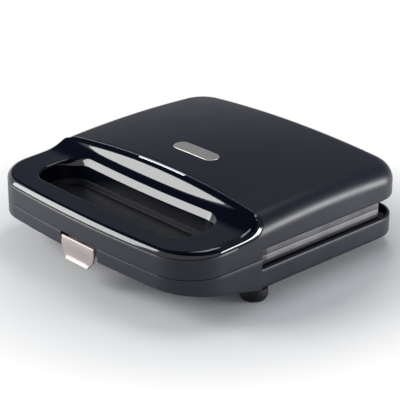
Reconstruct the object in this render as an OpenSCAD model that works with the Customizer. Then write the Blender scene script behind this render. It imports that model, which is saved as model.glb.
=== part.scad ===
// Sandwich toaster with a hinged lid, a pair of heated plates, a finger pocket and a front latch.
// Millimetres. The origin is on the table under the middle of the toaster: front is -Y, up is +Z.

/* [Housing] */
// Width of the housing across its sides
body_w = 230; // [222:1:250]
// Depth of the housing from its front face to its rear face
body_d = 232; // [226:1:250]
// Plan radius of the two front corners
front_corner_r = 33; // [26:1:38]
// Plan radius of the two rear corners
rear_corner_r = 25.7; // [20:0.1:30]
// How far the middle of the front face stands ahead of its ends
front_bulge = 6.7; // [0:0.1:9]
// Wall of the moulded housings
wall = 2.5; // [2:0.1:3]
// Height of the feet
foot_h = 10; // [8:0.5:12]
// Height of the base at its front face, from its underside to the parting line
base_front_h = 25.3; // [24.5:0.1:27]
// Height of the base at its sides and rear
base_side_h = 16.5; // [15:0.1:17.5]
// How far the underside rises towards the front face
chin_rise = 14; // [10:0.5:14]
// Depth of the front block that holds the pocket and the latch
block_d = 76; // [74:0.5:78]
// Running gap between the base and the closed lid
parting_gap = 0.3; // [0.2:0.05:0.5]

/* [Lid] */
// Height of the lid's plain front band, from the parting line to the panel seam
band_h = 15.2; // [14:0.1:17]
// Height of the lid's shoulder above the parting line
lid_h = 29.7; // [29:0.1:32]
// Open height between the base and the lid at the sides and rear
slot_h = 15.5; // [14.5:0.1:16.5]
// Rounding of the lid's upper edge
edge_r = 13; // [9:0.5:14]
// Rise of the crown from the sides to the middle
crown_w = 6.1; // [4:0.1:8]
// Rise of the crown from its ends to the middle
crown_l = 3.3; // [1:0.1:4]
// Depth of the lid's top, from the rear face to the middle of the panel seam
top_d = 148.2; // [146:0.1:150]
// How far the panel seam bows back towards the middle
seam_bow = 5; // [0:0.1:7]

/* [Front panel] */
// Height of the panel's front edge above its seam
panel_front_h = 4.5; // [3:0.1:6]
// Height of the panel behind the pocket above its seam
panel_rear_h = 8.4; // [7:0.1:10]
// Width of the rounding round the panel's outer edge
panel_edge = 6; // [4:0.1:8]
// Radius of the sweep from the panel up to the lid's top
sweep_r = 12; // [9:0.5:13]
// Thickness of the panel
panel_t = 2.2; // [1.8:0.1:2.6]
// Clearance along the panel's seams
seam_gap = 0.2; // [0.1:0.05:0.3]

/* [Finger pocket] */
// Width of the pocket
pocket_w = 170; // [150:1:176]
// Front-to-rear opening of the pocket
pocket_d = 43; // [36:0.5:44]
// Distance from the front face to the pocket
pocket_front = 21.5; // [20:0.5:24]
// Radius of the pocket's corners
pocket_r = 18; // [10:0.5:18]
// Height of the ledge round the pocket's floor
ledge_h = 5; // [3:0.5:6]
// Thickness of the tray that forms the pocket's floor
tray_t = 2.4; // [2:0.1:3]

/* [Plates] */
// Gap between the plates and the housing at each side
plate_side_gap = 8; // [7:0.5:10]
// Gap between the plates and the rear face
plate_rear_gap = 18.5; // [18:0.5:21]
// Gap between the front block and the plates
plate_front_gap = 3; // [2.5:0.5:5]
// Height of the parting line above the face where the plates meet
plate_drop = 2.55; // [2.3:0.05:2.8]
// Thickness of a plate's rim
plate_t = 3; // [2.5:0.1:3.5]
// Thickness of the cast metal under the cavities
cast_t = 2.5; // [2:0.1:3]
// Depth of the lower cavities
lower_depth = 9; // [7:0.5:9]
// Depth of the upper cavities
upper_depth = 11; // [8:0.5:12]
// Width of the outer rim round the cavities
rim_w = 8; // [6:0.5:10]
// Width of the sealing ridges between the cavities
ridge_w = 7; // [5:0.5:9]
// Slope of the cavity walls, as the width that they take up
cavity_slope = 5; // [3:0.5:6]

/* [Heaters] */
// Diameter of the tubular heating elements
element_dia = 6; // [5:0.1:6]
// Bend radius of the heating elements
element_bend = 12; // [9:0.5:14]
// Thickness of the reflector sheet
sheet_t = 0.8; // [0.6:0.1:1]
// Clearance between an element and its reflector
element_gap = 1; // [0.6:0.1:1.2]

/* [Hinge] */
// Distance from the rear face to the hinge axis
hinge_in = 4; // [3.5:0.1:4.5]
// Height of the hinge axis below the parting line
hinge_drop = 0.3; // [0:0.1:0.5]
// Outer radius of the hinge knuckles
knuckle_r = 6.7; // [6.4:0.1:6.8]
// Distance from the middle to each hinge
hinge_x = 60; // [50:1:64]
// Length of the lid's knuckle
lid_knuckle_l = 14; // [10:0.5:16]
// Length of each of the base's knuckles
base_knuckle_l = 7; // [5:0.5:8]
// Diameter of the hinge pins
hinge_pin_dia = 4; // [3:0.1:5]
// Radial running clearance of the pivots
pivot_clear = 0.08; // [0.05:0.01:0.1]
// Side clearance between neighbouring knuckles
knuckle_gap = 0.4; // [0.3:0.1:0.6]

/* [Latch] */
// Width of the latch
latch_w = 37.2; // [30:0.1:40]
// Height of the latch from its lip to its top edge
latch_h = 18; // [17:0.1:19]
// Distance from the parting line down to the latch's top edge
latch_drop = 1.3; // [1:0.1:2]
// Thickness of the latch plate
latch_t = 2.2; // [1.8:0.1:2.6]
// Width of the latch's lower lip
lip_w = 26; // [20:0.5:28]
// Radius of the rolled lower lip
lip_r = 1.5; // [1.2:0.1:1.6]
// How far the lip stands ahead of the front face
latch_reach = 2.7; // [2.4:0.1:3]
// Side clearance between the latch and its recess
latch_gap = 2.7; // [1:0.1:3]
// Diameter of the latch pin
latch_pin_dia = 2.4; // [2:0.1:3]
// Distance from the front face back to the latch pin
latch_pin_in = 4.8; // [4.6:0.1:5.4]
// Distance from the parting line down to the latch pin
latch_pin_drop = 7; // [6.5:0.1:7.5]

/* [Trim] */
// Width of the badge plate
badge_w = 46; // [30:1:60]
// Height of the badge plate
badge_d = 13.5; // [10:0.5:16]
// Distance from the middle of the toaster back to the badge plate
badge_y = 1.5; // [-8:0.5:10]
// Depth of the badge's seat in the lid
badge_seat = 1; // [0.8:0.1:1.2]
// Thickness of the badge plate
badge_t = 1.6; // [1.4:0.1:1.8]
// Width of the indicator lens
lens_w = 52; // [40:1:60]
// Front-to-rear size of the indicator lens
lens_d = 2; // [1.5:0.1:2.5]
// Depth of the indicator lens below the lid's top
lens_h = 6; // [4:0.5:7]
// Diameter of the feet
foot_dia = 21.4; // [18:0.2:22]
// Distance from each side to the middle of a foot
foot_in = 11; // [10.8:0.1:12]
// Distance from the front block's rear face to the middle of a front foot
front_foot_y = 2.5; // [1:0.5:4]
// Distance from the rear face to the middle of a rear foot
rear_foot_in = 27; // [25:1:34]
// Distance of the rear feet's centres from the sides
rear_foot_side_in = 32; // [26:1:36]

/* [Hidden] */

// Colours of the materials
SATIN = [0.125, 0.14, 0.18];
GLOSS = [0.04, 0.045, 0.07];
COATING = [0.2, 0.2, 0.21];
LATCH_METAL = [0.65, 0.59, 0.57];
STEEL = [0.7, 0.71, 0.72];
RUBBER = [0.05, 0.05, 0.05];
CERAMIC = [0.86, 0.84, 0.78];

// Steps along the outline and round its edges
front_steps = 10;
side_steps = 4;
corner_steps = 7;
edge_step = 15;
crown_rings = 3;
pipe_sides = 10;
bend_steps = 5;

// A small overshoot, so that cuts run clear of the faces that they open
eps = 0.5;
// The least lift that parts two faces
skin = 0.01;
// Clearance between pieces that rest on each other inside
contact_gap = 0.1;
// Clearance of a piece set inside a housing
fit = 0.2;
// A height and a width that are beyond the whole toaster
tall = 120;
wide = 300;

// Plan levels
half_w = body_w/2;
half_d = body_d/2;
block_y = -half_d + block_d;
seam_y = half_d - top_d;

// Heights
part_z = foot_h + base_front_h;
base_top_z = part_z - parting_gap/2;
lid_bottom_z = part_z + parting_gap/2;
base_side_z = foot_h + base_side_h;
lid_side_z = base_side_z + slot_h;
seam_z = part_z + band_h;
shoulder_z = part_z + lid_h;
meet_z = part_z - plate_drop;
chin_angle = atan(chin_rise/block_d);

// Crown of the lid: highest behind the middle, falling to the seam and to the rear face
crown_y = 40;
crown_run = 80;
function crown(x, y) = shoulder_z + crown_w*(1 - pow(x/half_w, 2))
    + crown_l*(1 - pow((max(y, crown_y - crown_run) - crown_y)/crown_run, 2));

// Outline of the housing in plan, drawn in from the outer face by inset
function arc(c, r, a, b, n) = [for (i = [0:n]) c + r*[cos(a + (b - a)*i/n), sin(a + (b - a)*i/n)]];
function between(a, b, n) = [for (i = [1:n - 1]) a + (b - a)*i/n];
function bulged(p) = [p.x, p.y < 0 ? p.y*(1 - front_bulge/half_d*pow(p.x/half_w, 2)) : p.y];
function outline(inset) =
    let (fx = half_w - front_corner_r, fy = front_corner_r - half_d, fr = front_corner_r - inset,
         rx = half_w - rear_corner_r, ry = half_d - rear_corner_r, rr = rear_corner_r - inset,
         sx = half_w - inset, sy = half_d - inset)
    [for (p = concat(between([-fx, -sy], [fx, -sy], front_steps), arc([fx, fy], fr, -90, 0, corner_steps),
                     between([sx, fy], [sx, ry], side_steps), arc([rx, ry], rr, 0, 90, corner_steps),
                     between([rx, sy], [-rx, sy], side_steps), arc([-rx, ry], rr, 90, 180, corner_steps),
                     between([-sx, ry], [-sx, fy], side_steps), arc([-fx, fy], fr, 180, 270, corner_steps)))
        bulged(p)];

// The lid's outer form, drawn in by t on every side
function dome_rings(t, z0) = concat(
    [[for (p = outline(t)) [p.x, p.y, z0]]],
    [for (a = [0:edge_step:90])
        [for (p = outline(t + (edge_r - t)*(1 - cos(a))))
            [p.x, p.y, crown(p.x, p.y) - edge_r + (edge_r - t)*sin(a)]]],
    [for (k = [1:crown_rings])
        [for (p = outline(edge_r)*(1 - k/(crown_rings + 1))) [p.x, p.y, crown(p.x, p.y) - t]]]);

// The front panel's outer form before its sweep, drawn in by t on every side
panel_front_y = panel_edge - half_d;
panel_slope = (panel_rear_h - panel_front_h)/(block_d - panel_edge);
function panel_level(y) = seam_z + panel_front_h + panel_slope*(y - panel_front_y);
function panel_rings(t, z0) = concat(
    [[for (p = outline(t)) [p.x, p.y, z0]]],
    [for (a = [0:edge_step:90])
        [for (p = outline(t + panel_edge*(1 - cos(a))))
            [p.x, p.y, seam_z + (panel_level(p.y) - t - seam_z)*sin(a)]]]);

// A closed solid from rings of equal length, lowest first, closed by a fan at each end
module ring_solid(rings, top_z) {
    n = len(rings[0]);
    m = len(rings);
    points = concat([for (r = rings) each r], [[0, 0, rings[0][0].z], [0, 0, top_z]]);
    faces = concat(
        [for (k = [0:m - 2]) for (i = [0:n - 1]) let (j = (i + 1)%n)
            each [[k*n + i, k*n + n + i, k*n + n + j], [k*n + i, k*n + n + j, k*n + j]]],
        [for (i = [0:n - 1]) [i, (i + 1)%n, n*m]],
        [for (i = [0:n - 1]) [(m - 1)*n + (i + 1)%n, (m - 1)*n + i, n*m + 1]]);
    polyhedron(points, faces);
}

module dome(t, z0) {
    ring_solid(dome_rings(t, z0), crown(0, 0) - t);
}

module panel_dome(t, z0) {
    ring_solid(panel_rings(t, z0), panel_level(0) - t);
}

// A side profile of (y, z) points run across the toaster, or from x0 to x1
module across(points, x0 = -wide/2, x1 = wide/2) {
    translate([x0, 0, 0]) rotate([90, 0, 90]) linear_extrude(x1 - x0) polygon(points);
}

// A bar along X
module bar(r, length, y, z, x = 0) {
    translate([x - length/2, y, z]) rotate([0, 90, 0]) cylinder(r = r, h = length, $fn = 48);
}

// A box from its lowest to its highest corner
module block(low, high) {
    translate(low) cube(high - low);
}

// A plan rectangle with round corners, from two bars and four discs
module round_rect(w, d, r) {
    square([w - 2*r, d], center = true);
    square([w, d - 2*r], center = true);
    for (x = [-1, 1]) for (y = [-1, 1]) translate([x*(w/2 - r), y*(d/2 - r)]) circle(r = r, $fn = 48);
}

// A pipe along a list of points that never runs along the direction rise
function unit(v) = v/norm(v);
function heading(path, i) = unit(path[min(i + 1, len(path) - 1)] - path[max(i - 1, 0)]);
function pipe_ring(path, i, r, rise) =
    let (along = heading(path, i), side = unit(cross(along, rise)), up = cross(side, along))
    [for (k = [0:pipe_sides - 1]) path[i] + r*(cos(360*k/pipe_sides)*side + sin(360*k/pipe_sides)*up)];
module pipe(path, r, rise = [0, 0, 1]) {
    n = pipe_sides;
    m = len(path);
    points = [for (i = [0:m - 1]) each pipe_ring(path, i, r, rise)];
    faces = concat(
        [for (k = [0:m - 2]) for (i = [0:n - 1]) let (j = (i + 1)%n)
            each [[k*n + i, k*n + j, k*n + n + j], [k*n + i, k*n + n + j, k*n + n + i]]],
        [[for (i = [0:n - 1]) n - 1 - i], [for (i = [0:n - 1]) (m - 1)*n + i]]);
    polyhedron(points, faces);
}

// A plan path through corner points, each corner rounded to radius r
function rounded_corner(a, b, c, r) =
    let (u = unit(a - b), v = unit(c - b), half = acos(u*v)/2, run = r/tan(half),
         centre = b + unit(u + v)*r/sin(half), from = b + u*run - centre, to = b + v*run - centre,
         turn = 180 - 2*half)
    [for (k = [0:bend_steps])
        centre + (from*sin(turn*(1 - k/bend_steps)) + to*sin(turn*k/bend_steps))/sin(turn)];
function rounded_path(p, r) = concat([p[0]],
    [for (i = [1:len(p) - 2]) each rounded_corner(p[i - 1], p[i], p[i + 1], r)], [p[len(p) - 1]]);
function lifted(path, z) = [for (p = path) [p.x, p.y, z]];

// Plates
plate_w = body_w - 2*plate_side_gap;
plate_y0 = block_y + plate_front_gap;
plate_y1 = half_d - plate_rear_gap;
plate_mid_y = (plate_y0 + plate_y1)/2;
plate_corner_r = 6;
lower_top = meet_z - parting_gap/2;
upper_bottom = meet_z + parting_gap/2;
lower_skirt_in = 2;
upper_skirt_in = 1.2;
lower_skirt = lower_top - base_side_z + lower_skirt_in;
upper_skirt = lid_side_z + upper_skirt_in - upper_bottom;
lower_cast_z = lower_top - lower_depth - cast_t;
upper_cast_z = upper_bottom + upper_depth + cast_t;
cavity_w = (plate_w - 2*rim_w - ridge_w)/2;
cavity_d = plate_y1 - plate_y0 - 2*rim_w;
cavity_x = (cavity_w + ridge_w)/2;

// The three plan corners of one triangular cavity, drawn in by t; side (-1 or 1) is the corner that it holds
function triangle(side, t) =
    let (w = cavity_w/2, d = cavity_d/2, diagonal = norm([cavity_w, cavity_d]), cut = ridge_w/2,
         gap_x = (cut + t)*diagonal/cavity_d + t, gap_y = (cut + t)*diagonal/cavity_w + t)
    [[side*(w - t), side*(d - t)], [side*(gap_x - w), side*(d - t)], [side*(w - t), side*(gap_y - d)]];

// A tapering triangular cavity, from z0 at its mouth to z1 at its floor, widened by grow
module cavity(side, grow, z0, z1) {
    mouth = triangle(side, -grow);
    bed = triangle(side, cavity_slope - grow);
    points = concat([for (p = mouth) [p.x, p.y, z0]], [for (p = bed) [p.x, p.y, z1]]);
    up = z1 > z0;
    around = [for (i = [0:2]) let (j = (i + 1)%3) each [[i, 3 + i, 3 + j], [i, 3 + j, j]]];
    faces = concat(around, [[0, 1, 2], [5, 4, 3]]);
    polyhedron(points, up ? faces : [for (f = faces) [f[2], f[1], f[0]]]);
}

module cavities(grow, z0, z1) {
    for (bay = [-1, 1]) for (side = [-1, 1])
        translate([bay*cavity_x, plate_mid_y, 0]) mirror([bay > 0 ? 0 : 1, 0, 0]) cavity(side, grow, z0, z1);
}

module plate_outline(inset) {
    translate([0, plate_mid_y])
        round_rect(plate_w - 2*inset, plate_y1 - plate_y0 - 2*inset, plate_corner_r - min(inset, wall));
}

// Screws: shank, head, and the pilot that the shank bites into
screw_r = 1.5;
screw_head_r = 2.6;
screw_head_h = 1.8;
screw_clear = 0.3;
screw_tip_clear = 0.8;
boss_r = 4;
well_clear = 0.4;
well_r = screw_head_r + well_clear;
plate_boss_in = 7;
plate_boss_x = plate_w/2 - plate_boss_in;
plate_boss_y = [plate_y0 + plate_boss_in, plate_y1 - plate_boss_in];
plate_boss_xy = [[-plate_boss_x, plate_boss_y[0]], [plate_boss_x, plate_boss_y[0]], [0, plate_boss_y[1]]];

// A screw pointing up from its head, whose underside is at z0
module screw(x, y, z0, length) {
    translate([x, y, z0]) {
        cylinder(r = screw_r, h = length, $fn = 24);
        translate([0, 0, -screw_head_h]) cylinder(r = screw_head_r, h = screw_head_h, $fn = 24);
    }
}

module screw_hole(x, y, z0, z1, r = screw_r) {
    translate([x, y, z0]) cylinder(r = r, h = z1 - z0, $fn = 24);
}

// A round post or boss
module post(p, z0, r, h) {
    translate([p.x, p.y, z0]) cylinder(r = r, h = h, $fn = 48);
}

// Hinge and latch places
hinge_y = half_d - hinge_in;
hinge_z = part_z - hinge_drop;
hinge_pin_r = hinge_pin_dia/2;
base_knuckle_x = lid_knuckle_l/2 + knuckle_gap + base_knuckle_l/2;
hinge_span = lid_knuckle_l + 2*knuckle_gap + 2*base_knuckle_l;
latch_pin_r = latch_pin_dia/2;
latch_y = -half_d + latch_pin_in;
latch_z = part_z - latch_pin_drop;
latch_top_z = part_z - latch_drop;
latch_low_z = latch_top_z - latch_h;
latch_front_y = -half_d - latch_reach + lip_r;
latch_barrel_wall = 1.4;
latch_barrel_r = latch_pin_r + latch_barrel_wall;
recess_half = latch_w/2 + latch_gap;
recess_room = 6;
recess_back_y = latch_y + latch_barrel_r + recess_room;
cheek_t = 2.2;
cheek_skin = 0.5;
latch_pin_l = 2*(recess_half + cheek_t - cheek_skin);
hook_t = 1.8;
hook_w = 12;
hook_x = 9;

// Base housing
tower_r = 4.5;
post_r = 3.5;
deck_boss_in = 8;
deck_boss_lead = 24;
deck_boss_xy = [for (x = [-1, 1]) [x*(half_w - front_corner_r - deck_boss_in), block_y - deck_boss_lead]];
deck_t = 2.4;
deck_z = base_top_z - deck_t;
deck_post_h = 8;
flange_z = lower_top - lower_skirt;
well_roof = 2.6;
well_z = flange_z - sheet_t - well_roof;
cross_wall_in = 4;
foot_hole_r = 2.5;
foot_y = [block_y + front_foot_y, half_d - rear_foot_in];
foot_x = [half_w - foot_in, half_w - rear_foot_side_in];
foot_xy = [for (row = [0, 1]) for (x = [-1, 1]) [x*foot_x[row], foot_y[row]]];
gland_r = 5.6;
gland_margin = 1;
gland_x = gland_r + rear_corner_r + gland_margin - half_w;
gland_z = foot_h + base_side_h/2;
gland_hole_r = 4.2;
terminal_x = 42;
terminal_lead = 22;
terminal_y = block_y - terminal_lead;
terminal_w = 34;
terminal_d = 14;
terminal_h = 8;
terminal_z = foot_h + chin_rise;

// Everything below the sloping underside of the front, raised by t
module below_chin(t) {
    lift = t/cos(chin_angle);
    front_z = foot_h + chin_rise + lift;
    across([[-half_d - eps, -eps], [-half_d - eps, front_z], [-half_d, front_z],
            [block_y, foot_h + lift], [block_y, -eps]]);
}

module base_form(t, top) {
    difference() {
        translate([0, 0, foot_h + t]) linear_extrude(top - foot_h - t) polygon(outline(t));
        below_chin(t);
    }
}

module base_knuckles() {
    for (side = [-1, 1]) for (k = [-1, 1]) {
        x = side*hinge_x + k*base_knuckle_x;
        bar(knuckle_r, base_knuckle_l, hinge_y, hinge_z, x);
        block([x - base_knuckle_l/2, hinge_y - knuckle_r, base_side_z - wall],
              [x + base_knuckle_l/2, half_d, hinge_z]);
    }
}

module base_shell() {
    color(SATIN) difference() {
        union() {
            difference() {
                base_form(0, base_top_z);
                base_form(wall, base_top_z + eps);
                block([-wide/2, block_y, base_side_z], [wide/2, wide/2, tall]);
            }
            intersection() {
                base_form(wall/2, base_top_z);
                union() {
                    for (p = plate_boss_xy) post(p, 0, tower_r, flange_z - sheet_t);
                    for (p = deck_boss_xy) post(p, 0, tower_r, deck_z - deck_post_h);
                    for (x = [-1, 1]) post([terminal_x + x*terminal_w/4, terminal_y], 0, post_r, terminal_z);
                    block([-recess_half - cheek_t, -half_d, 0],
                          [recess_half + cheek_t, recess_back_y + cheek_t, deck_z]);
                }
            }
            base_knuckles();
        }
        block([-recess_half, -wide/2, -eps], [recess_half, recess_back_y, tall]);
        bar(latch_pin_r, latch_pin_l, latch_y, latch_z);
        for (side = [-1, 1]) bar(hinge_pin_r, hinge_span + 2*eps, hinge_y, hinge_z, side*hinge_x);
        for (p = plate_boss_xy) {
            screw_hole(p.x, p.y, -eps, well_z, well_r);
            screw_hole(p.x, p.y, 0, tall, screw_r + screw_clear);
        }
        for (p = deck_boss_xy) {
            screw_hole(p.x, p.y, -eps, deck_z - deck_post_h - wall, well_r);
            screw_hole(p.x, p.y, 0, tall, screw_r + screw_clear);
        }
        for (p = foot_xy) screw_hole(p.x, p.y, 0, foot_h + wall + eps, foot_hole_r);
        translate([gland_x, half_d - 2*wall, gland_z]) rotate([-90, 0, 0])
            cylinder(r = gland_hole_r, h = 3*wall, $fn = 48);
    }
}

// Cover of the front block, closed at its rear by a cross wall
module base_deck() {
    inner = wall + fit;
    color(SATIN) difference() {
        union() {
            intersection() {
                translate([0, 0, deck_z]) linear_extrude(deck_t) polygon(outline(inner));
                block([-wide/2, -wide/2, 0], [wide/2, block_y, tall]);
            }
            intersection() {
                translate([0, 0, base_side_z - cross_wall_in])
                    linear_extrude(deck_z - base_side_z + cross_wall_in) polygon(outline(inner));
                block([-wide/2, block_y - wall, 0], [wide/2, block_y, tall]);
            }
            for (p = deck_boss_xy) post(p, deck_z - deck_post_h, boss_r, deck_post_h);
        }
        block([-recess_half - fit, -wide/2, deck_z - eps], [recess_half + fit, recess_back_y, tall]);
        for (p = deck_boss_xy) screw_hole(p.x, p.y, 0, deck_z, screw_r);
    }
}

module base_deck_screws() {
    color(STEEL) for (p = deck_boss_xy)
        screw(p.x, p.y, deck_z - deck_post_h - wall, wall + deck_post_h - screw_tip_clear);
}

// Cast plates: a rim with a skirt, four tapering cavities and their backs
module lower_plate() {
    color(COATING) difference() {
        union() {
            translate([0, 0, lower_top - plate_t]) linear_extrude(plate_t) plate_outline(0);
            translate([0, 0, flange_z]) linear_extrude(lower_skirt) difference() {
                plate_outline(0);
                plate_outline(wall);
            }
            cavities(cast_t, lower_top - plate_t/2, lower_cast_z);
            for (p = plate_boss_xy) post(p, flange_z, boss_r, lower_skirt - eps);
        }
        cavities(0, lower_top + skin, lower_top - lower_depth);
        for (p = plate_boss_xy) screw_hole(p.x, p.y, 0, lower_top - plate_t, screw_r);
    }
}

module upper_plate() {
    color(COATING) difference() {
        union() {
            translate([0, 0, upper_bottom]) linear_extrude(plate_t) plate_outline(0);
            translate([0, 0, upper_bottom]) linear_extrude(upper_skirt) difference() {
                plate_outline(0);
                plate_outline(wall);
            }
            cavities(cast_t, upper_bottom + plate_t/2, upper_cast_z);
            for (p = plate_boss_xy) post(p, upper_bottom, boss_r, upper_skirt);
        }
        cavities(0, upper_bottom - skin, upper_bottom + upper_depth);
        for (p = plate_boss_xy) screw_hole(p.x, p.y, upper_bottom + plate_t, tall, screw_r);
    }
}

// Heating elements: one loop under each plate, with both ends at the front
element_r = element_dia/2;
element_side_in = 29;
element_front_in = 30;
element_rear_in = 26;
element_x = plate_w/2 - element_side_in;
element_y0 = plate_y0 + element_front_in;
element_y1 = plate_y1 - element_rear_in;
element_end_x = 14;
element_end_y = plate_y0 + 2;
element_plan = rounded_path([[-element_end_x, element_end_y], [-element_end_x, element_y0],
    [-element_x, element_y0], [-element_x, element_y1], [element_x, element_y1], [element_x, element_y0],
    [element_end_x, element_y0], [element_end_x, element_end_y]], element_bend);
lower_element_z = lower_cast_z - element_r - contact_gap;
upper_element_z = upper_cast_z + element_r + contact_gap;
tab_l = 9;
tab_w = 6.3;

module element(z) {
    color(STEEL) pipe(lifted(element_plan, z), element_r);
    color(STEEL) for (x = [-1, 1])
        block([x*element_end_x - tab_w/2, element_end_y - tab_l, z - sheet_t/2],
              [x*element_end_x + tab_w/2, element_end_y + eps, z + sheet_t/2]);
}

module lower_element() {
    element(lower_element_z);
}

module upper_element() {
    element(upper_element_z);
}

// Omega clamps that hold an element against its plate; their flat ears are above (1) or below (-1) it
clamp_l = 10;
clamp_ear = 7;
clamp_front_in = 32;
clamp_rear_in = 24;
clamp_y = [element_y0 + clamp_front_in, element_y1 - clamp_rear_in];
module clamps(z, side) {
    outer = element_r + fit + sheet_t;
    seat = element_r + contact_gap;
    color(STEEL) for (x = [-1, 1]) for (y = clamp_y)
        translate([x*element_x, y + clamp_l/2, z]) rotate([90, 0, 0]) linear_extrude(clamp_l) difference() {
            union() {
                circle(r = outer, $fn = 48);
                translate([0, side*(seat - sheet_t/2)]) square([2*(outer + clamp_ear), sheet_t], center = true);
            }
            circle(r = element_r + fit, $fn = 48);
            translate([0, side*(seat + outer)]) square(2*outer, center = true);
        }
}

module lower_element_clamps() {
    clamps(lower_element_z, 1);
}

module upper_element_clamps() {
    clamps(upper_element_z, -1);
}

// Reflectors: pressed sheet trays whose flanges carry the plates
tray_in = rim_w - 1;
tray_relief = plate_boss_in;
lower_tray_z = lower_element_z - element_r - element_gap - sheet_t;
upper_tray_z = upper_element_z + element_r + element_gap + sheet_t;
flange_reach = 6;
flange_rear_y = plate_y1 + flange_reach;

module tray_plan(grow) {
    difference() {
        translate([0, plate_mid_y])
            square([plate_w - 2*tray_in + 2*grow, plate_y1 - plate_y0 - 2*tray_in + 2*grow], center = true);
        for (p = plate_boss_xy) translate([p.x, p.y]) circle(r = tray_relief - grow, $fn = 48);
    }
}

module reflector(flange_low, tray_z) {
    low = min(flange_low, tray_z);
    high = max(flange_low + sheet_t, tray_z);
    up = tray_z > flange_low;
    color(STEEL) difference() {
        union() {
            intersection() {
                translate([0, 0, flange_low]) linear_extrude(sheet_t) polygon(outline(wall + fit));
                block([-wide/2, block_y + fit, 0], [wide/2, flange_rear_y, tall]);
            }
            translate([0, 0, low]) linear_extrude(high - low) tray_plan(sheet_t);
        }
        translate([0, 0, low + (up ? -eps : sheet_t)]) linear_extrude(high - low - sheet_t + eps) tray_plan(0);
        for (x = [-1, 1])
            translate([x*element_end_x, plate_y0 + tray_in - 2*sheet_t, up ? upper_element_z : lower_element_z])
                rotate([-90, 0, 0]) cylinder(r = element_r + element_gap/2, h = 3*sheet_t, $fn = 48);
        for (p = plate_boss_xy) screw_hole(p.x, p.y, 0, tall, screw_r + screw_clear);
    }
}

module lower_reflector() {
    reflector(flange_z - sheet_t, lower_tray_z);
}

// The upper flange stops short of the hinge brackets and takes the two rear lid screws
upper_flange_z = upper_bottom + upper_skirt;
lid_boss_in = 14;
lid_boss_back = 4;
lid_boss_xy = [for (x = [-1, 1]) [x*(plate_w/2 - lid_boss_in), plate_y1 + lid_boss_back]];
lid_screw_l = 10;
bracket_clear = 1;
module upper_reflector() {
    color(STEEL) difference() {
        reflector(upper_flange_z, upper_tray_z);
        for (side = [-1, 1]) block([side*hinge_x - hinge_span/2 - bracket_clear, plate_y1 - bracket_clear, 0],
                                   [side*hinge_x + hinge_span/2 + bracket_clear, wide/2, tall]);
        for (p = lid_boss_xy) screw_hole(p.x, p.y, 0, tall, screw_r + screw_clear);
    }
}

module lower_plate_screws() {
    length = lower_top - plate_t - well_z - screw_tip_clear;
    color(STEEL) for (p = plate_boss_xy) screw(p.x, p.y, well_z, length);
}

module upper_plate_screws() {
    top = upper_flange_z + sheet_t;
    length = top - upper_bottom - plate_t - screw_tip_clear;
    color(STEEL) for (p = plate_boss_xy)
        translate([p.x, p.y, 2*top]) mirror([0, 0, 1]) screw(0, 0, top, length);
}

module lid_screws() {
    color(STEEL) for (p = lid_boss_xy) screw(p.x, p.y, upper_flange_z, lid_screw_l);
}

// Temperature control and supply
thermostat_in = 19.25;
thermostat_xy = [cavity_x + 6, element_y1 - thermostat_in];
thermostat_r = 7;
thermostat_cap = 1;
fuse_in = 11.25;
fuse_y = element_y1 - fuse_in;
fuse_r = 2.2;
fuse_l = 24;
fuse_lead_r = 0.6;
fuse_lead_l = 6;
module thermostat() {
    high = lower_cast_z - contact_gap;
    low = lower_tray_z + sheet_t + fit;
    color(CERAMIC) post(thermostat_xy, low, thermostat_r, high - low);
    color(STEEL) post(thermostat_xy, high - sheet_t, thermostat_r + thermostat_cap, sheet_t);
}

module thermal_fuse() {
    z = lower_cast_z - fuse_r - contact_gap;
    color(CERAMIC) bar(fuse_r, fuse_l, fuse_y, z, -cavity_x);
    color(STEEL) bar(fuse_lead_r, fuse_l + 2*fuse_lead_l, fuse_y, z, -cavity_x);
}

terminal_n = 3;
terminal_pitch = terminal_w/terminal_n;
terminal_mid_z = terminal_z + terminal_h/2;
terminal_screw_r = 1.5;
terminal_screw_h = 2.4;
wire_r = 1.2;
function terminal_at(k) = terminal_x + (k - (terminal_n - 1)/2)*terminal_pitch;
module terminal_block() {
    color(CERAMIC) difference() {
        block([terminal_x - terminal_w/2, terminal_y - terminal_d/2, terminal_z],
              [terminal_x + terminal_w/2, terminal_y + terminal_d/2, terminal_z + terminal_h]);
        for (k = [0:terminal_n - 1]) {
            translate([terminal_at(k), terminal_y - terminal_d, terminal_mid_z]) rotate([-90, 0, 0])
                cylinder(r = wire_r + fit, h = 2*terminal_d, $fn = 24);
            post([terminal_at(k), terminal_y], terminal_mid_z, terminal_screw_r + contact_gap, terminal_h);
        }
    }
    color(STEEL) for (k = [0:terminal_n - 1])
        post([terminal_at(k), terminal_y], terminal_mid_z + wire_r + fit, terminal_screw_r, terminal_screw_h);
}

// Two wires from the terminal block to the element's tabs
wire_lead = 4;
wire_dip = 1.5;
module base_wiring() {
    end_y = element_end_y - tab_l;
    color([0.75, 0.7, 0.62]) for (k = [0, 1]) {
        from = [terminal_at(k), terminal_y + terminal_d/2, terminal_mid_z];
        to = [(2*k - 1)*element_end_x, end_y, lower_element_z];
        middle = (from + to)/2 + [0, (1 - 2*k)*wire_dip, 0];
        pipe([from - [0, wire_lead, 0], from + [0, wire_lead/2, 0], from + [-1, wire_lead, -1], middle,
              to + [1, -wire_dip, wire_dip/3], to - [0, wire_dip/3, 0], to], wire_r);
    }
}

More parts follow.
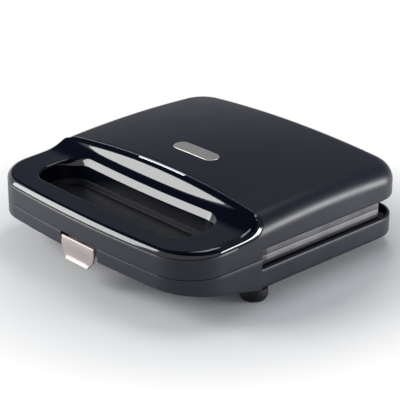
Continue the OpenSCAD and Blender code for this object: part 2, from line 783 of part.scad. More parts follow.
// Gland in the rear wall for the supply lead
gland_bore_r = 3.2;
gland_lip = 1.6;
module lead_gland() {
    color(RUBBER) translate([gland_x, half_d - wall, gland_z]) rotate([-90, 0, 0]) difference() {
        union() {
            cylinder(r = gland_hole_r, h = wall + gland_lip, $fn = 48);
            translate([0, 0, wall]) cylinder(r = gland_r, h = gland_lip, $fn = 48);
            translate([0, 0, -gland_lip]) cylinder(r = gland_r, h = gland_lip, $fn = 48);
        }
        translate([0, 0, -2*gland_lip]) cylinder(r = gland_bore_r, h = wall + 4*gland_lip, $fn = 48);
    }
}

// Moulded rubber foot, held by a barbed peg through the floor of the base, or glued on with a plug in its floor
foot_edge = 3;
foot_waist_z = 0.55*foot_h;
foot_grip = 0.25;
foot_barb = 1;
foot_tip_h = 2;
module foot(p, barbed) {
    r = foot_dia/2;
    flat_r = r - foot_edge;
    grip_z = foot_h + wall + foot_grip;
    plug_z = foot_h + wall - foot_grip;
    tip_z = grip_z + foot_tip_h;
    peg = [[foot_hole_r, grip_z], [foot_hole_r + foot_barb, grip_z],
        [foot_hole_r - foot_barb/2, tip_z], [0, tip_z]];
    plug = [[foot_hole_r, plug_z], [0, plug_z]];
    color(RUBBER) translate([p.x, p.y, 0]) rotate_extrude($fn = 64) polygon(concat(
        [[0, 0], [flat_r, 0]],
        [for (a = [-75:15:0]) [flat_r + foot_edge*cos(a), foot_waist_z*(1 + sin(a))]],
        [[r, foot_h - skin], [foot_hole_r, foot_h - skin]],
        barbed ? peg : plug));
}

module foot_front_left() {
    foot(foot_xy[0], true);
}

module foot_front_right() {
    foot(foot_xy[1], true);
}

module foot_rear_left() {
    foot(foot_xy[2], false);
}

module foot_rear_right() {
    foot(foot_xy[3], false);
}

module hinge_pin(side) {
    color(STEEL) bar(hinge_pin_r, hinge_span, hinge_y, hinge_z, side*hinge_x);
}

module hinge_pin_left() {
    hinge_pin(-1);
}

module hinge_pin_right() {
    hinge_pin(1);
}

// Lid bracket: a knuckle, a web up the rear wall and a flange screwed up into the lid
bracket_t = 3;
bracket_rise = 8;
bracket_flange_z = lid_side_z + bracket_rise;
bracket_screw_in = 12;
bracket_half = lid_knuckle_l/2;
bracket_screw_y = half_d - wall - bracket_screw_in;
module hinge_bracket(side) {
    x = side*hinge_x;
    color(STEEL) difference() {
        union() {
            bar(knuckle_r, lid_knuckle_l, hinge_y, hinge_z, x);
            block([x - bracket_half, hinge_y - knuckle_r, hinge_z],
                  [x + bracket_half, half_d - wall - fit, bracket_flange_z + bracket_t]);
            block([x - bracket_half, bracket_screw_y - boss_r, bracket_flange_z],
                  [x + bracket_half, hinge_y, bracket_flange_z + bracket_t]);
        }
        bar(hinge_pin_r + pivot_clear, lid_knuckle_l + 2*eps, hinge_y, hinge_z, x);
        screw_hole(x, bracket_screw_y, 0, tall, screw_r + screw_clear);
    }
}

module hinge_bracket_left() {
    hinge_bracket(-1);
}

module hinge_bracket_right() {
    hinge_bracket(1);
}

module hinge_bracket_screws() {
    color(STEEL) for (side = [-1, 1]) screw(side*hinge_x, bracket_screw_y, bracket_flange_z, lid_screw_l);
}

// Latch: a plate on a barrel, with two hooks behind it and a rolled lip below
catch_in = 3;
catch_h = 2.6;
hook_clear = 0.3;
hook_nose = 0.3;
hook_nose_h = 1.6;
hook_y0 = -half_d + wall + catch_in + hook_clear + hook_nose;
latch_back_y = latch_front_y + latch_t;
latch_edge_r = 0.8;
latch_web_t = 2;
module latch() {
    nose_z = lid_bottom_z + catch_h + hook_clear;
    low = latch_low_z + lip_r;
    high = latch_top_z - latch_edge_r;
    color(LATCH_METAL) difference() {
        union() {
            translate([0, latch_back_y, 0]) rotate([90, 0, 0]) linear_extrude(latch_t) polygon([
                [-lip_w/2, low], [lip_w/2, low], [latch_w/2, low + (latch_w - lip_w)/2],
                [latch_w/2, high], [-latch_w/2, high], [-latch_w/2, low + (latch_w - lip_w)/2]]);
            bar(latch_edge_r, latch_w, latch_back_y - latch_edge_r, high);
            block([-latch_w/2, latch_back_y - latch_edge_r, high - latch_edge_r],
                  [latch_w/2, latch_back_y, high]);
            bar(lip_r, lip_w, latch_front_y, low);
            bar(latch_barrel_r, latch_w, latch_y, latch_z);
            block([-latch_w/2, latch_front_y + latch_t/2, latch_z - latch_web_t/2],
                  [latch_w/2, latch_y, latch_z + latch_web_t/2]);
            for (x = [-hook_x, hook_x]) {
                block([x - hook_w/2, hook_y0, latch_z], [x + hook_w/2, hook_y0 + hook_t, nose_z + hook_nose_h]);
                block([x - hook_w/2, latch_y, latch_z - latch_web_t/2],
                      [x + hook_w/2, hook_y0 + hook_t, latch_z + latch_web_t/2]);
                block([x - hook_w/2, hook_y0 - hook_nose, nose_z],
                      [x + hook_w/2, hook_y0 + hook_t, nose_z + hook_nose_h]);
            }
        }
        bar(latch_pin_r + pivot_clear, latch_w + 2*eps, latch_y, latch_z);
    }
}

module latch_pin() {
    color(STEEL) bar(latch_pin_r, latch_pin_l, latch_y, latch_z);
}

// Torsion spring round the pin, in the gap beside the latch, with both its legs towards the rear
spring_wire_r = 0.2;
spring_turns = 2;
spring_steps = 12;
spring_leg = 5;
spring_clear = 0.2;
module latch_spring() {
    r = latch_pin_r + spring_wire_r + spring_clear;
    room = latch_gap - 2*(spring_wire_r + spring_clear);
    n = spring_turns*spring_steps;
    coil = [for (k = [0:n]) let (turn = 360*k/spring_steps)
        [latch_w/2 + spring_clear + spring_wire_r + room*k/n, latch_y - r*sin(turn), latch_z + r*cos(turn)]];
    leg = [0, spring_leg, 0];
    color(STEEL) pipe(concat([coil[0] + leg], coil, [coil[n] - [0, r, 0] + leg]), spring_wire_r, [1, 0, 0]);
}

// The space ahead of the panel seam and above it, drawn in by g
seam_sweep_r = 18;
seam_rise = 1.6;
seam_lead = 1;
seam_steps = 6;
side_sweep = [seam_y - seam_bow - seam_sweep_r + fit, seam_z + seam_rise + seam_sweep_r];
function seam_at(x) = seam_y - seam_bow*pow(x/half_w, 2);
module front_space(g) {
    side = concat([[-wide/2, seam_z + g]],
        [for (a = [-90:15:-15]) side_sweep + (seam_sweep_r - g)*[cos(a), sin(a)]],
        [[seam_y + seam_lead, side_sweep.y - seam_sweep_r*sin(15)], [seam_y + seam_lead, tall],
         [-wide/2, tall]]);
    plan = concat([for (k = [-seam_steps:seam_steps]) let (x = k*half_w/seam_steps) [x, seam_at(x) - g]],
        [[wide/2, seam_at(half_w) - g], [wide/2, -wide/2], [-wide/2, -wide/2], [-wide/2, seam_at(half_w) - g]]);
    middle = half_w - edge_r - wall;
    intersection() {
        union() {
            across(side);
            block([-middle, -wide/2, seam_z + g], [middle, seam_y + seam_lead, tall]);
        }
        linear_extrude(tall) polygon(plan);
    }
}

badge_floor_z = crown(0, badge_y) - badge_seat;
knuckle_room = 0.6;
module badge_form(grow) {
    translate([0, badge_y]) round_rect(badge_w + 2*grow, badge_d + 2*grow, badge_d/2 + grow - skin);
}

module lid_shell() {
    color(SATIN) difference() {
        union() {
            difference() {
                dome(0, lid_bottom_z);
                dome(wall, lid_bottom_z - eps);
            }
            intersection() {
                dome(wall/2, lid_bottom_z);
                union() {
                    for (p = lid_boss_xy) post(p, upper_flange_z + sheet_t, boss_r, tall);
                    for (side = [-1, 1])
                        post([side*hinge_x, bracket_screw_y], bracket_flange_z + bracket_t, boss_r, tall);
                    translate([0, 0, badge_floor_z - wall]) linear_extrude(wall) badge_form(wall);
                    block([-latch_w/2, -wide/2, lid_bottom_z],
                          [latch_w/2, -half_d + wall + catch_in, lid_bottom_z + catch_h]);
                }
            }
        }
        front_space(0);
        block([-wide/2, block_y, 0], [wide/2, wide/2, lid_side_z]);
        for (side = [-1, 1]) for (k = [-1, 1])
            bar(knuckle_r + knuckle_room, base_knuckle_l + 2*knuckle_gap, hinge_y, hinge_z,
                side*hinge_x + k*base_knuckle_x);
        for (p = lid_boss_xy) screw_hole(p.x, p.y, 0, upper_flange_z + lid_screw_l + screw_tip_clear);
        for (side = [-1, 1])
            screw_hole(side*hinge_x, bracket_screw_y, 0, bracket_flange_z + lid_screw_l + screw_tip_clear);
        translate([0, 0, badge_floor_z]) linear_extrude(tall) badge_form(fit);
    }
}

// Gloss panel: its rounded edge, the sweep up to the lid's top, and the walls of the pocket
pocket_y = -half_d + pocket_front + pocket_d/2;
ledge_top_z = lid_bottom_z + tray_t + ledge_h;
sweep_lead = 2;
sweep_y = seam_y - sweep_lead - sweep_r;
sweep_z = panel_level(sweep_y) + sweep_r;
handle_boss_in = 15;
handle_boss_lead = [14, 40];
handle_boss_x = half_w - handle_boss_in;
handle_boss_xy = [for (x = [-1, 1]) for (lead = handle_boss_lead) [x*handle_boss_x, block_y - lead]];
handle_screw_z = lid_bottom_z + screw_head_h + well_clear;
handle_screw_l = 12;
lens_y = seam_at(lens_w/2) - lens_d/2 - seam_gap;

module sweep_form(t) {
    front_y = sweep_y - 3*sweep_r;
    intersection() {
        dome(t, lid_bottom_z);
        across(concat([[front_y, seam_z], [front_y, panel_level(front_y) - t]],
            [for (a = [-90:15:0]) [sweep_y, sweep_z] + (sweep_r + t)*[cos(a), sin(a)]],
            [[sweep_y + sweep_r + t, tall], [seam_y + seam_lead, tall], [seam_y + seam_lead, seam_z]]));
    }
}

module pocket_form(grow) {
    translate([0, pocket_y]) round_rect(pocket_w + 2*grow, pocket_d + 2*grow, pocket_r + grow);
}

module panel_form(t) {
    panel_dome(t, seam_z - eps - t);
    sweep_form(t);
}

module front_panel() {
    color(GLOSS) difference() {
        intersection() {
            union() {
                difference() {
                    panel_form(0);
                    panel_form(panel_t);
                }
                intersection() {
                    union() {
                        panel_dome(panel_t/2, ledge_top_z);
                        sweep_form(panel_t/2);
                    }
                    union() {
                        translate([0, 0, ledge_top_z]) linear_extrude(tall) pocket_form(panel_t);
                        for (p = handle_boss_xy) post(p, ledge_top_z, boss_r, tall);
                    }
                }
            }
            union() {
                front_space(seam_gap);
                translate([0, 0, ledge_top_z]) linear_extrude(seam_z) pocket_form(panel_t);
                for (p = handle_boss_xy) post(p, 0, boss_r, tall);
            }
        }
        translate([0, 0, ledge_top_z - eps]) linear_extrude(tall) pocket_form(0);
        for (p = handle_boss_xy) screw_hole(p.x, p.y, 0, handle_screw_z + handle_screw_l + screw_tip_clear);
        block([-lens_w/2 - fit, lens_y - lens_d/2 - seam_gap, 0], [lens_w/2 + fit, wide/2, tall]);
    }
}

// Tray under the front block: floor of the pocket, its ledge, and the cross wall behind
tray_top_z = lid_bottom_z + tray_t;
ledge_in = 0.6;
module handle_tray() {
    color(SATIN) difference() {
        union() {
            intersection() {
                union() {
                    translate([0, 0, lid_bottom_z]) linear_extrude(tray_t) polygon(outline(wall + fit));
                    intersection() {
                        translate([0, 0, lid_bottom_z]) linear_extrude(upper_flange_z - lid_bottom_z)
                            polygon(outline(wall + fit));
                        block([-wide/2, block_y - wall, 0], [wide/2, wide/2, tall]);
                    }
                }
                block([-wide/2, -wide/2, 0], [wide/2, block_y, tall]);
            }
            translate([0, 0, lid_bottom_z]) linear_extrude(tray_t + ledge_h) pocket_form(panel_t);
            for (p = handle_boss_xy) post(p, lid_bottom_z, boss_r, tray_t + ledge_h);
        }
        translate([0, 0, tray_top_z]) linear_extrude(tall) pocket_form(-ledge_in);
        block([-latch_w/2 - fit, -wide/2, 0], [latch_w/2 + fit, recess_back_y, tall]);
        for (p = handle_boss_xy) {
            screw_hole(p.x, p.y, 0, handle_screw_z, well_r);
            screw_hole(p.x, p.y, 0, tall, screw_r + screw_clear);
        }
    }
}

module handle_screws() {
    color(STEEL) for (p = handle_boss_xy) screw(p.x, p.y, handle_screw_z, handle_screw_l);
}

// Indicator lens in the seam, and the lamps behind it
lens_proud = 0.3;
lens_top_z = crown(lens_w/2, seam_y) + lens_proud;
lamp_r = 2.6;
lamp_l = 11;
lamp_x = 13;
lamp_gap = 1;
lamp_y = lens_y + lamp_r + lamp_gap;
lamp_z = lens_top_z - lens_h - lamp_r - lamp_gap;
module indicator_lens() {
    color([0.9, 0.92, 0.95]) block([-lens_w/2, lens_y - lens_d/2, lens_top_z - lens_h],
                                   [lens_w/2, lens_y + lens_d/2, lens_top_z]);
}

module lamp(x, tint) {
    color(tint) {
        bar(lamp_r, lamp_l - lamp_r, lamp_y, lamp_z, x);
        translate([x + (lamp_l - lamp_r)/2, lamp_y, lamp_z]) sphere(r = lamp_r, $fn = 24);
    }
}

module red_lamp() {
    lamp(-lamp_x, [0.9, 0.2, 0.1]);
}

module green_lamp() {
    lamp(lamp_x, [0.2, 0.8, 0.3]);
}

// Holder of the lamps: its shelf lies against the back of the panel's sweep
holder_t = 2;
holder_lip = 0.6;
holder_ear = 4;
holder_z = lamp_z - lamp_r - holder_t;
holder_y = sweep_y + sqrt(pow(sweep_r + panel_t + fit, 2) - pow(sweep_z - holder_z - holder_t, 2));
module lamp_holder() {
    front_y = lamp_y - lamp_r - holder_lip;
    rear_y = lamp_y + lamp_r + holder_t;
    color(CERAMIC) difference() {
        union() {
            block([-lens_w/2, holder_y, holder_z], [lens_w/2, rear_y, holder_z + holder_t]);
            for (x = [-lamp_x, lamp_x])
                block([x - lamp_l/2, front_y, holder_z],
                      [x - lamp_l/2 + holder_ear, rear_y, lamp_z + lamp_r/2]);
        }
        for (x = [-lamp_x, lamp_x]) bar(lamp_r, lamp_l + lamp_r, lamp_y, lamp_z, x);
    }
}

module badge() {
    color([0.73, 0.71, 0.67]) translate([0, 0, badge_floor_z]) linear_extrude(badge_t) badge_form(0);
}

base_shell();
base_deck();
lower_plate();
lower_element();
lower_element_clamps();
lower_reflector();
lower_plate_screws();
base_deck_screws();
thermostat();
thermal_fuse();
terminal_block();
base_wiring();
lead_gland();
foot_front_left();
foot_front_right();
foot_rear_left();
foot_rear_right();
hinge_pin_left();
hinge_pin_right();
latch_pin();
latch_spring();
latch();
lid_shell();
front_panel();
handle_tray();
handle_screws();
upper_plate();
upper_element();
upper_element_clamps();
upper_reflector();
upper_plate_screws();
lid_screws();
hinge_bracket_left();
hinge_bracket_right();
hinge_bracket_screws();
indicator_lens();
lamp_holder();
red_lamp();
green_lamp();
badge();
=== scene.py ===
"""Sandwich toaster: the looks of its hinged lid, gloss front panel, base, plates and trim.

Sizes are in millimetres until raw() turns them into metres. Front is -Y and up is +Z.
"""
import math

import bmesh
import bpy
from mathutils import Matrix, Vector


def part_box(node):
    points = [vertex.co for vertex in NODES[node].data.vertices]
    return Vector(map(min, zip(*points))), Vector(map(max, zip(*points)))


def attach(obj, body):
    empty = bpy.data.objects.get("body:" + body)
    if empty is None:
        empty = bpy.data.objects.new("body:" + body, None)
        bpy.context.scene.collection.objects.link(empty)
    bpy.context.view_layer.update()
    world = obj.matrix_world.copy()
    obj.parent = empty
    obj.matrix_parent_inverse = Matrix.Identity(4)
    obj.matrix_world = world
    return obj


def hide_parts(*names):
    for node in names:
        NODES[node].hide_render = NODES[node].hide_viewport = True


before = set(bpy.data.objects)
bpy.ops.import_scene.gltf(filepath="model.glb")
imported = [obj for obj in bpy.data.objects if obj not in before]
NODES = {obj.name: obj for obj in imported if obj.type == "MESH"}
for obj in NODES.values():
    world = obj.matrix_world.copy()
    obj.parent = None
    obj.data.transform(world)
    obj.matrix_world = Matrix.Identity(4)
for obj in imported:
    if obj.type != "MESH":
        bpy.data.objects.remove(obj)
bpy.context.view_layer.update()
MM = 0.001
X, Y, Z = 0, 1, 2


def span(node, axis):
    """Lowest and highest place of a CAD node along an axis, in millimetres."""
    low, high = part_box(node)
    return low[axis] / MM, high[axis] / MM


# Housing: what the frame gives
HALF_W = span("lid_shell", X)[1]
HALF_D = span("lid_shell", Y)[1]
BASE_Z = span("base_shell", Z)[0]
BASE_TOP = span("base_deck", Z)[1]
LID_BOTTOM = span("lid_shell", Z)[0]
BLOCK_Y = span("handle_tray", Y)[1]

# Housing: outline, side slot, walls and edges
FRONT_CORNER_R = 33
REAR_CORNER_R = 25.7
FRONT_BULGE = 6.7
BASE_SIDE_TOP = 26.5
LID_SIDE_BOTTOM = 42
SHELL_WALL = 2.2
EDGE_BREAK = 0.25
SLOT_EDGE_R = 1.6
SIDE_EDGE_R = 0.9

# Base: its underside, its side panel behind the front block, and the screw wells
CHIN_RISE, CHIN_CURVE = 14, 1.5
PANEL_BACK = 1
BLOCK_BOTTOM_R, SIDE_BOTTOM_R = 1, 2.5
UNDERSIDE_RINGS = (0.9, 0.8, 0.65, 0.5, 0.35, 0.2, 0)
WELL_R, WELL_WALL = 3, 1.2
WELL_CUT = (-5, 8)
WELL_LIFT, WELL_GAP = 0.3, 0.1

# Lid: a crowned top with a rounded edge
SHOULDER_Z = 65
EDGE_R = 13
CROWN_W = 6.1
CROWN_L = 3.3
CROWN_Y = 40
CROWN_RUN = 80

# Seam between the lid and the front panel, with the centre of its arc up the side
SEAM_Y = -32.2
SEAM_BOW = 5
SEAM_GAP = 0.28
SEAM_DEPTH = 2
S_R = 12.8
S_CENTRE = Vector((SEAM_Y - SEAM_BOW * (1 - EDGE_R / HALF_W) ** 2 - S_R, 66.2))
S_START, S_END = math.radians(-86.3), math.radians(-25)
TURN_Y = -29

# Front panel: level, rounded border, and the sweep that rises to the seam
LEVEL_FRONT = 55.5
LEVEL_SLOPE = 3.4 / 70
LEVEL_FRONT_Y = -110
BAND = 6
FRONT_BAND = 3.6
BAND_TURN = 0.5
BORDER_TURN = (4, 8)
BEAD_R = 7.5
SWEEP_R = 12.5
SWEEP_OPENS = 1.6
STEEPEST_DROP = 0.99
PANEL_WALL = 1.6
NUDGE = 0.05
LEAST_TURN = 0.05

# Finger pocket; a rim is its turns, as the angle that each ends at and its radius
POCKET_HALF_W = 85
POCKET_Y0 = -94.5
POCKET_Y1 = -51.5
POCKET_R = 18
POCKET_MID_Y = (POCKET_Y0 + POCKET_Y1) / 2
FRONT_RIM = ((90, 2.4),)
REAR_RIM = ((47, 2.5), (66, 5.5 / math.radians(19)), (90, 3))
LEDGE_Z = span("front_panel", Z)[0]
LEDGE_LIP = 1

# Tray: how far each ring stands out from the pocket's wall, and its height
TRAY_TOP = 38.15
TRAY_RINGS = (
    (1.8, LEDGE_Z - 0.1), (0, LEDGE_Z - 0.1), (-0.35, LEDGE_Z - 0.2), (-0.6, LEDGE_Z - 0.55),
    (-0.65, TRAY_TOP + 0.6), (-0.9, TRAY_TOP + 0.15), (-1.6, TRAY_TOP),
)
TRAY_MIDDLE = (0.8, 0.2)
TRAY_WALL = 0.2

# Latch: the section of its plate as places in Y and Z, its barrel, hooks and recess
LATCH_HALF = span("latch", X)[1]
LATCH_Y, LATCH_Z = -111.2, 28.3
LATCH_SECTION = (
    (-115.1, 32.2), (-115.2, 33.2), (-115.7, 33.85), (-116.4, 33.98), (-117.0, 33.6),
    (-117.2, 32.9), (-117.2, 27), (-117.15, 21.2), (-117.3, 19.2), (-117.75, 17.9),
    (-118.45, 17.1), (-118.66, 16.6), (-118.45, 16.15), (-117.8, 16.05), (-116.9, 16.8),
    (-116.15, 18.1), (-115.8, 19.8), (-115.7, 22), (-115.6, 27),
)
LATCH_ACROSS = (-1, -0.6, -0.2, 0.2, 0.6, 1)
LIP_HALF = 13
LIP_Z, LIP_RISE = 17.5, 5.6
BARREL_R = 2.7
WEB_Y = -116
HOOK_X, HOOK_HALF, HOOK_T = 9, 6, 1.8
HOOK_Y = span("latch", Y)[1] - HOOK_T
RECESS_HALF = LATCH_HALF + 2.7
RECESS_FRONT, RECESS_BACK = -HALF_D - 9, -102.5
RECESS_TOP = 40
BAY_WALL, BAY_FRONT, BAY_FLOOR, BAY_DROP = 2, 1.2, 1, 2.6

# Hinge knuckles on the base
HINGE_X = sum(span("hinge_pin_right", X)) / 2
HINGE_Y, HINGE_Z = 112, 35
KNUCKLE_STEP, KNUCKLE_HALF, KNUCKLE_R, KNUCKLE_EDGE = 10.9, 3.5, 6.7, 0.5
KNUCKLE_WEB_Z, KNUCKLE_WEB_BACK = 20, 0.6

# Cooking plates: where their outer sides are bare metal
BARE_Z, BARE_Y = 28.3, -27.5
BARE_REACH = 1
BARE_UPRIGHT = 0.6

# Trim: badge rings as inset and rise, the lens strip's section, and the feet
BADGE_RINGS = (
    (0, -0.8), (0, 0.15), (0.08, 0.32), (0.3, 0.45), (0.8, 0.5), (1.1, 0.44), (1.4, 0.42),
    (4, 0.45), (6.5, 0.46),
)
LENS_SECTION = (
    (0.1, -3), (0.1, -0.2), (-0.05, 0.05), (-0.4, 0.15), (-1.5, 0.05), (-1.9, -0.15),
    (-2.1, -0.5), (-2.1, -3),
)
FOOT_EDGE_R, FOOT_EDGE_H = 3, 5.5
FOOT_SOLE = ((4.4, 0.5), (4, 0.02))
FOOT_TOP = ((0, 0), (4, 0.1))

# Steps along and across the lofted skins
FRONT_STEPS = (44, 30)
SIDE_STEPS = 14
S_STEPS = 20
TURN_STEPS = 14
REAR_SIDE_STEPS = 40
REAR_STEPS = (34, 44)
TOP_STEPS = REAR_SIDE_STEPS + sum(REAR_STEPS)
LOWER_STEPS = 5
WALL_STEPS = 8
EDGE_STEPS = 16
CROWN_STEPS = 44
BEAD_STEPS = 12
LEVEL_STEPS = 26
RIM_STEPS = 18
BLOCK_STEPS = 16
BASE_SIDE_STEPS = 30
BASE_WALL_STEPS = 6
UNDER_EDGE_STEPS = 6
LENS_STEPS = 24
STADIUM_END_STEPS, STADIUM_FLAT_STEPS = 16, 12
FOOT_EDGE_STEP = 9
ROD_SIDES, TUBE_SIDES, FOOT_SIDES = 48, 40, 64
ROD_EDGE_SHARE = 0.3

# Mesh work: points closer than JOIN (mm), or than a weld (m), become one
JOIN = 0.04
WELD, CAD_WELD = 1e-6, 2e-5
SMOOTH_ANGLE = math.radians(50)
CARRIED_SMOOTH_ANGLE = math.radians(30)
BEVEL_ANGLE = math.radians(32)
BOX_SIDES = ((0, 1, 3, 2), (4, 6, 7, 5), (0, 4, 5, 1), (2, 3, 7, 6), (0, 2, 6, 4), (1, 5, 7, 3))


# Curves

def clamp(t):
    return min(max(t, 0), 1)


def ease(t):
    """A smooth step from 0 to 1."""
    t = clamp(t)
    return t * t * (3 - 2 * t)


def mix(a, b, t):
    return a + (b - a) * t


def bezier(a, b, c, d, t):
    u = 1 - t
    return a * u ** 3 + b * 3 * u * u * t + c * 3 * u * t * t + d * t ** 3


def circle(sides):
    """Angles round a full turn."""
    return [math.tau * k / sides for k in range(sides)]


def arc(cx, cy, r, a0, a1, steps):
    """Points along an arc, its start left out and its end kept."""
    turn = [math.radians(a0 + (a1 - a0) * k / steps) for k in range(1, steps + 1)]
    return [(cx + r * math.cos(a), cy + r * math.sin(a)) for a in turn]


def line(a, b, steps):
    """Points along a line, its start left out and its end kept."""
    return [(mix(a[0], b[0], k / steps), mix(a[1], b[1], k / steps)) for k in range(1, steps + 1)]


def crown(x, y):
    """Height of the lid's crowned top."""
    run = (max(y, CROWN_Y - CROWN_RUN) - CROWN_Y) / CROWN_RUN
    return SHOULDER_Z + CROWN_W * (1 - (x / HALF_W) ** 2) + CROWN_L * (1 - run * run)


def bulged(x, y):
    """The plan outline's front is drawn out in the middle."""
    return (x, y * (1 - FRONT_BULGE / HALF_D * (x / HALF_W) ** 2) if y < 0 else y)


def corner_end():
    """Where the front corner runs into the straight side."""
    return bulged(HALF_W, FRONT_CORNER_R - HALF_D)[1]


def front_points(inset):
    """Right half of the plan outline's front, from the middle to the straight side."""
    fx, fy = HALF_W - FRONT_CORNER_R, FRONT_CORNER_R - HALF_D
    middle = (0, inset - HALF_D)
    straight = [middle] + line(middle, (fx, inset - HALF_D), FRONT_STEPS[0])
    turn = arc(fx, fy, FRONT_CORNER_R - inset, -90, 0, FRONT_STEPS[1])
    return [bulged(*p) for p in straight + turn]


def rear_points(inset):
    """Right half of the rear outline, from the side to the middle, its start left out."""
    rx, ry = HALF_W - REAR_CORNER_R, HALF_D - REAR_CORNER_R
    turn = arc(rx, ry, REAR_CORNER_R - inset, 0, 90, REAR_STEPS[0])
    return turn + line((rx, HALF_D - inset), (0, HALF_D - inset), REAR_STEPS[1])


def mirrored(half):
    """A closed loop from its right half, which starts and ends on the middle plane."""
    return half + [Vector((-p[0], p[1], p[2])) for p in reversed(half[1:-1])]


# Meshes

def placed(name, data):
    """A new object of the scene that shows the data."""
    obj = bpy.data.objects.new(name, data)
    bpy.context.scene.collection.objects.link(obj)
    return obj


def raw(name, verts, faces):
    """A free object from points in millimetres."""
    data = bpy.data.meshes.new(name)
    data.from_pydata([tuple(c * MM for c in v) for v in verts], [], faces)
    return placed(name, data)


def from_work(name, work):
    """A free object from a bmesh, which is freed."""
    data = bpy.data.meshes.new(name)
    work.to_mesh(data)
    work.free()
    return placed(name, data)


def reshape(obj, change):
    """Runs a change on the object's mesh as a bmesh."""
    work = bmesh.new()
    work.from_mesh(obj.data)
    change(work)
    work.to_mesh(obj.data)
    work.free()
    return obj


def face_out(obj):
    return reshape(obj, lambda work: bmesh.ops.recalc_face_normals(work, faces=work.faces))


def modify(obj, kind, **settings):
    """Adds a modifier and applies it."""
    modifier = obj.modifiers.new(kind.lower(), kind)
    for key, value in settings.items():
        setattr(modifier, key, value)
    graph = bpy.context.evaluated_depsgraph_get()
    data = bpy.data.meshes.new_from_object(obj.evaluated_get(graph))
    obj.modifiers.clear()
    obj.data = data
    return obj


def settle(obj, body, material, replaces=()):
    """Shades a finished object and sets it on its body."""
    face_out(obj)
    obj.data.shade_smooth()
    obj.data.set_sharp_from_angle(angle=SMOOTH_ANGLE)
    obj.data.materials.clear()
    obj.data.materials.append(material)
    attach(obj, body)
    if replaces:
        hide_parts(*replaces)
    return obj


def dress(obj, body, material, replaces=(), bevel=0.3, segments=2):
    """Rounds a free object's edges and sets it on its body."""
    modify(obj, "BEVEL", width=bevel * MM, segments=segments, limit_method="ANGLE",
           angle_limit=BEVEL_ANGLE)
    return settle(obj, body, material, replaces)


def loft(loops):
    """Points and faces between closed loops of equal length; close points are joined."""
    n = len(loops[0])
    verts, table = [], []
    for k, loop in enumerate(loops):
        row = []
        for i, p in enumerate(loop):
            if k and (p - loops[k - 1][i]).length < JOIN:
                row.append(table[-1][i])
            elif i and (p - loop[i - 1]).length < JOIN:
                row.append(row[-1])
            else:
                row.append(len(verts))
                verts.append(tuple(p))
        table.append(row)
    faces = []
    for low, high in zip(table, table[1:]):
        for i in range(n):
            j = (i + 1) % n
            ring = [low[i], low[j], high[j], high[i]]
            face = tuple(v for m, v in enumerate(ring) if v != ring[m - 1])
            if len(set(face)) > 2:
                faces.append(face)
    return verts, faces


def shell(name, loops, thickness, up=True):
    """A skin through loops, thickened inwards; up says whether its outer face looks up overall."""
    obj = raw(name, *loft(loops))
    if (sum(f.normal.z * f.area for f in obj.data.polygons) > 0) != up:
        obj.data.flip_normals()
    return modify(obj, "SOLIDIFY", thickness=thickness * MM, offset=-1)


def capped(name, loops):
    """A closed solid from loops of equal length."""
    verts, faces = loft([[Vector(p) for p in loop] for loop in loops])
    n, m = len(loops[0]), len(verts)
    faces += [tuple(reversed(range(n))), tuple(range(m - n, m))]
    return raw(name, verts, faces)


def box(name, low, high):
    corners = [(x, y, z) for x in (low[X], high[X]) for y in (low[Y], high[Y])
               for z in (low[Z], high[Z])]
    return raw(name, corners, BOX_SIDES)


def rod(name, x0, x1, y, z, r, edge=0.3):
    """A bar along X with rounded ends."""
    part = edge * ROD_EDGE_SHARE
    rings = [(x0, r - edge), (x0 + part, r - part), (x0 + edge, r)]
    rings += [(x1 - edge, r), (x1 - part, r - part), (x1, r - edge)]
    turn = circle(ROD_SIDES)
    return capped(name, [[(x, y + q * math.cos(a), z + q * math.sin(a)) for a in turn]
                         for x, q in rings])


def tube(name, x, y, inner, wall, z0, z1):
    """An upright tube, or a plain round bar where it has no wall."""
    section = [(inner, z0), (inner, z1)]
    if wall:
        section += [(inner + wall, z1), (inner + wall, z0), (inner, z0)]
    turn = circle(TUBE_SIDES)
    loops = [[Vector((x + r * math.cos(a), y + r * math.sin(a), z)) for a in turn]
             for r, z in section]
    obj = raw(name, *loft(loops)) if wall else capped(name, loops)
    reshape(obj, lambda work: bmesh.ops.remove_doubles(work, verts=work.verts, dist=WELD))
    return face_out(obj)


def cut(obj, tool, solver="EXACT"):
    """Takes the tool out of the object."""
    modify(obj, "BOOLEAN", object=tool, operation="DIFFERENCE", solver=solver)
    bpy.data.objects.remove(tool)


def join(parts, name):
    work = bmesh.new()
    for part in parts:
        work.from_mesh(part.data)
        bpy.data.objects.remove(part)
    return from_work(name, work)


def rounded_copy(node, name, body, material, bevel=0.35):
    """A CAD node's mesh with its edges rounded."""
    work = bmesh.new()
    work.from_mesh(NODES[node].data)
    bmesh.ops.remove_doubles(work, verts=work.verts, dist=CAD_WELD)
    bmesh.ops.dissolve_limit(
        work, angle_limit=math.radians(1), verts=work.verts, edges=work.edges)
    return dress(from_work(name, work), body, material, [node], bevel)


def screw_places(node):
    """Plan places of a node's screws, from the middles of its loose parts."""
    work = bmesh.new()
    work.from_mesh(NODES[node].data)
    bmesh.ops.remove_doubles(work, verts=work.verts, dist=WELD)
    left, places = set(work.verts), []
    while left:
        part, queue = set(), [left.pop()]
        while queue:
            v = queue.pop()
            part.add(v)
            for edge in v.link_edges:
                other = edge.other_vert(v)
                if other in left:
                    left.remove(other)
                    queue.append(other)
        reach = [[v.co[axis] for v in part] for axis in (X, Y)]
        places.append(tuple((min(run) + max(run)) / 2 / MM for run in reach))
    work.free()
    return sorted(places)


# The seam between the lid and its front panel, as a curve on the lid's outer form

def on_arc(a):
    """Place in Y and Z on the seam's arc up the side."""
    return S_CENTRE[0] + S_R * math.cos(a), S_CENTRE[1] + S_R * math.sin(a)


SIDE_SEAM = ((-118, 50.5), (-64, 52.4), on_arc(S_START))


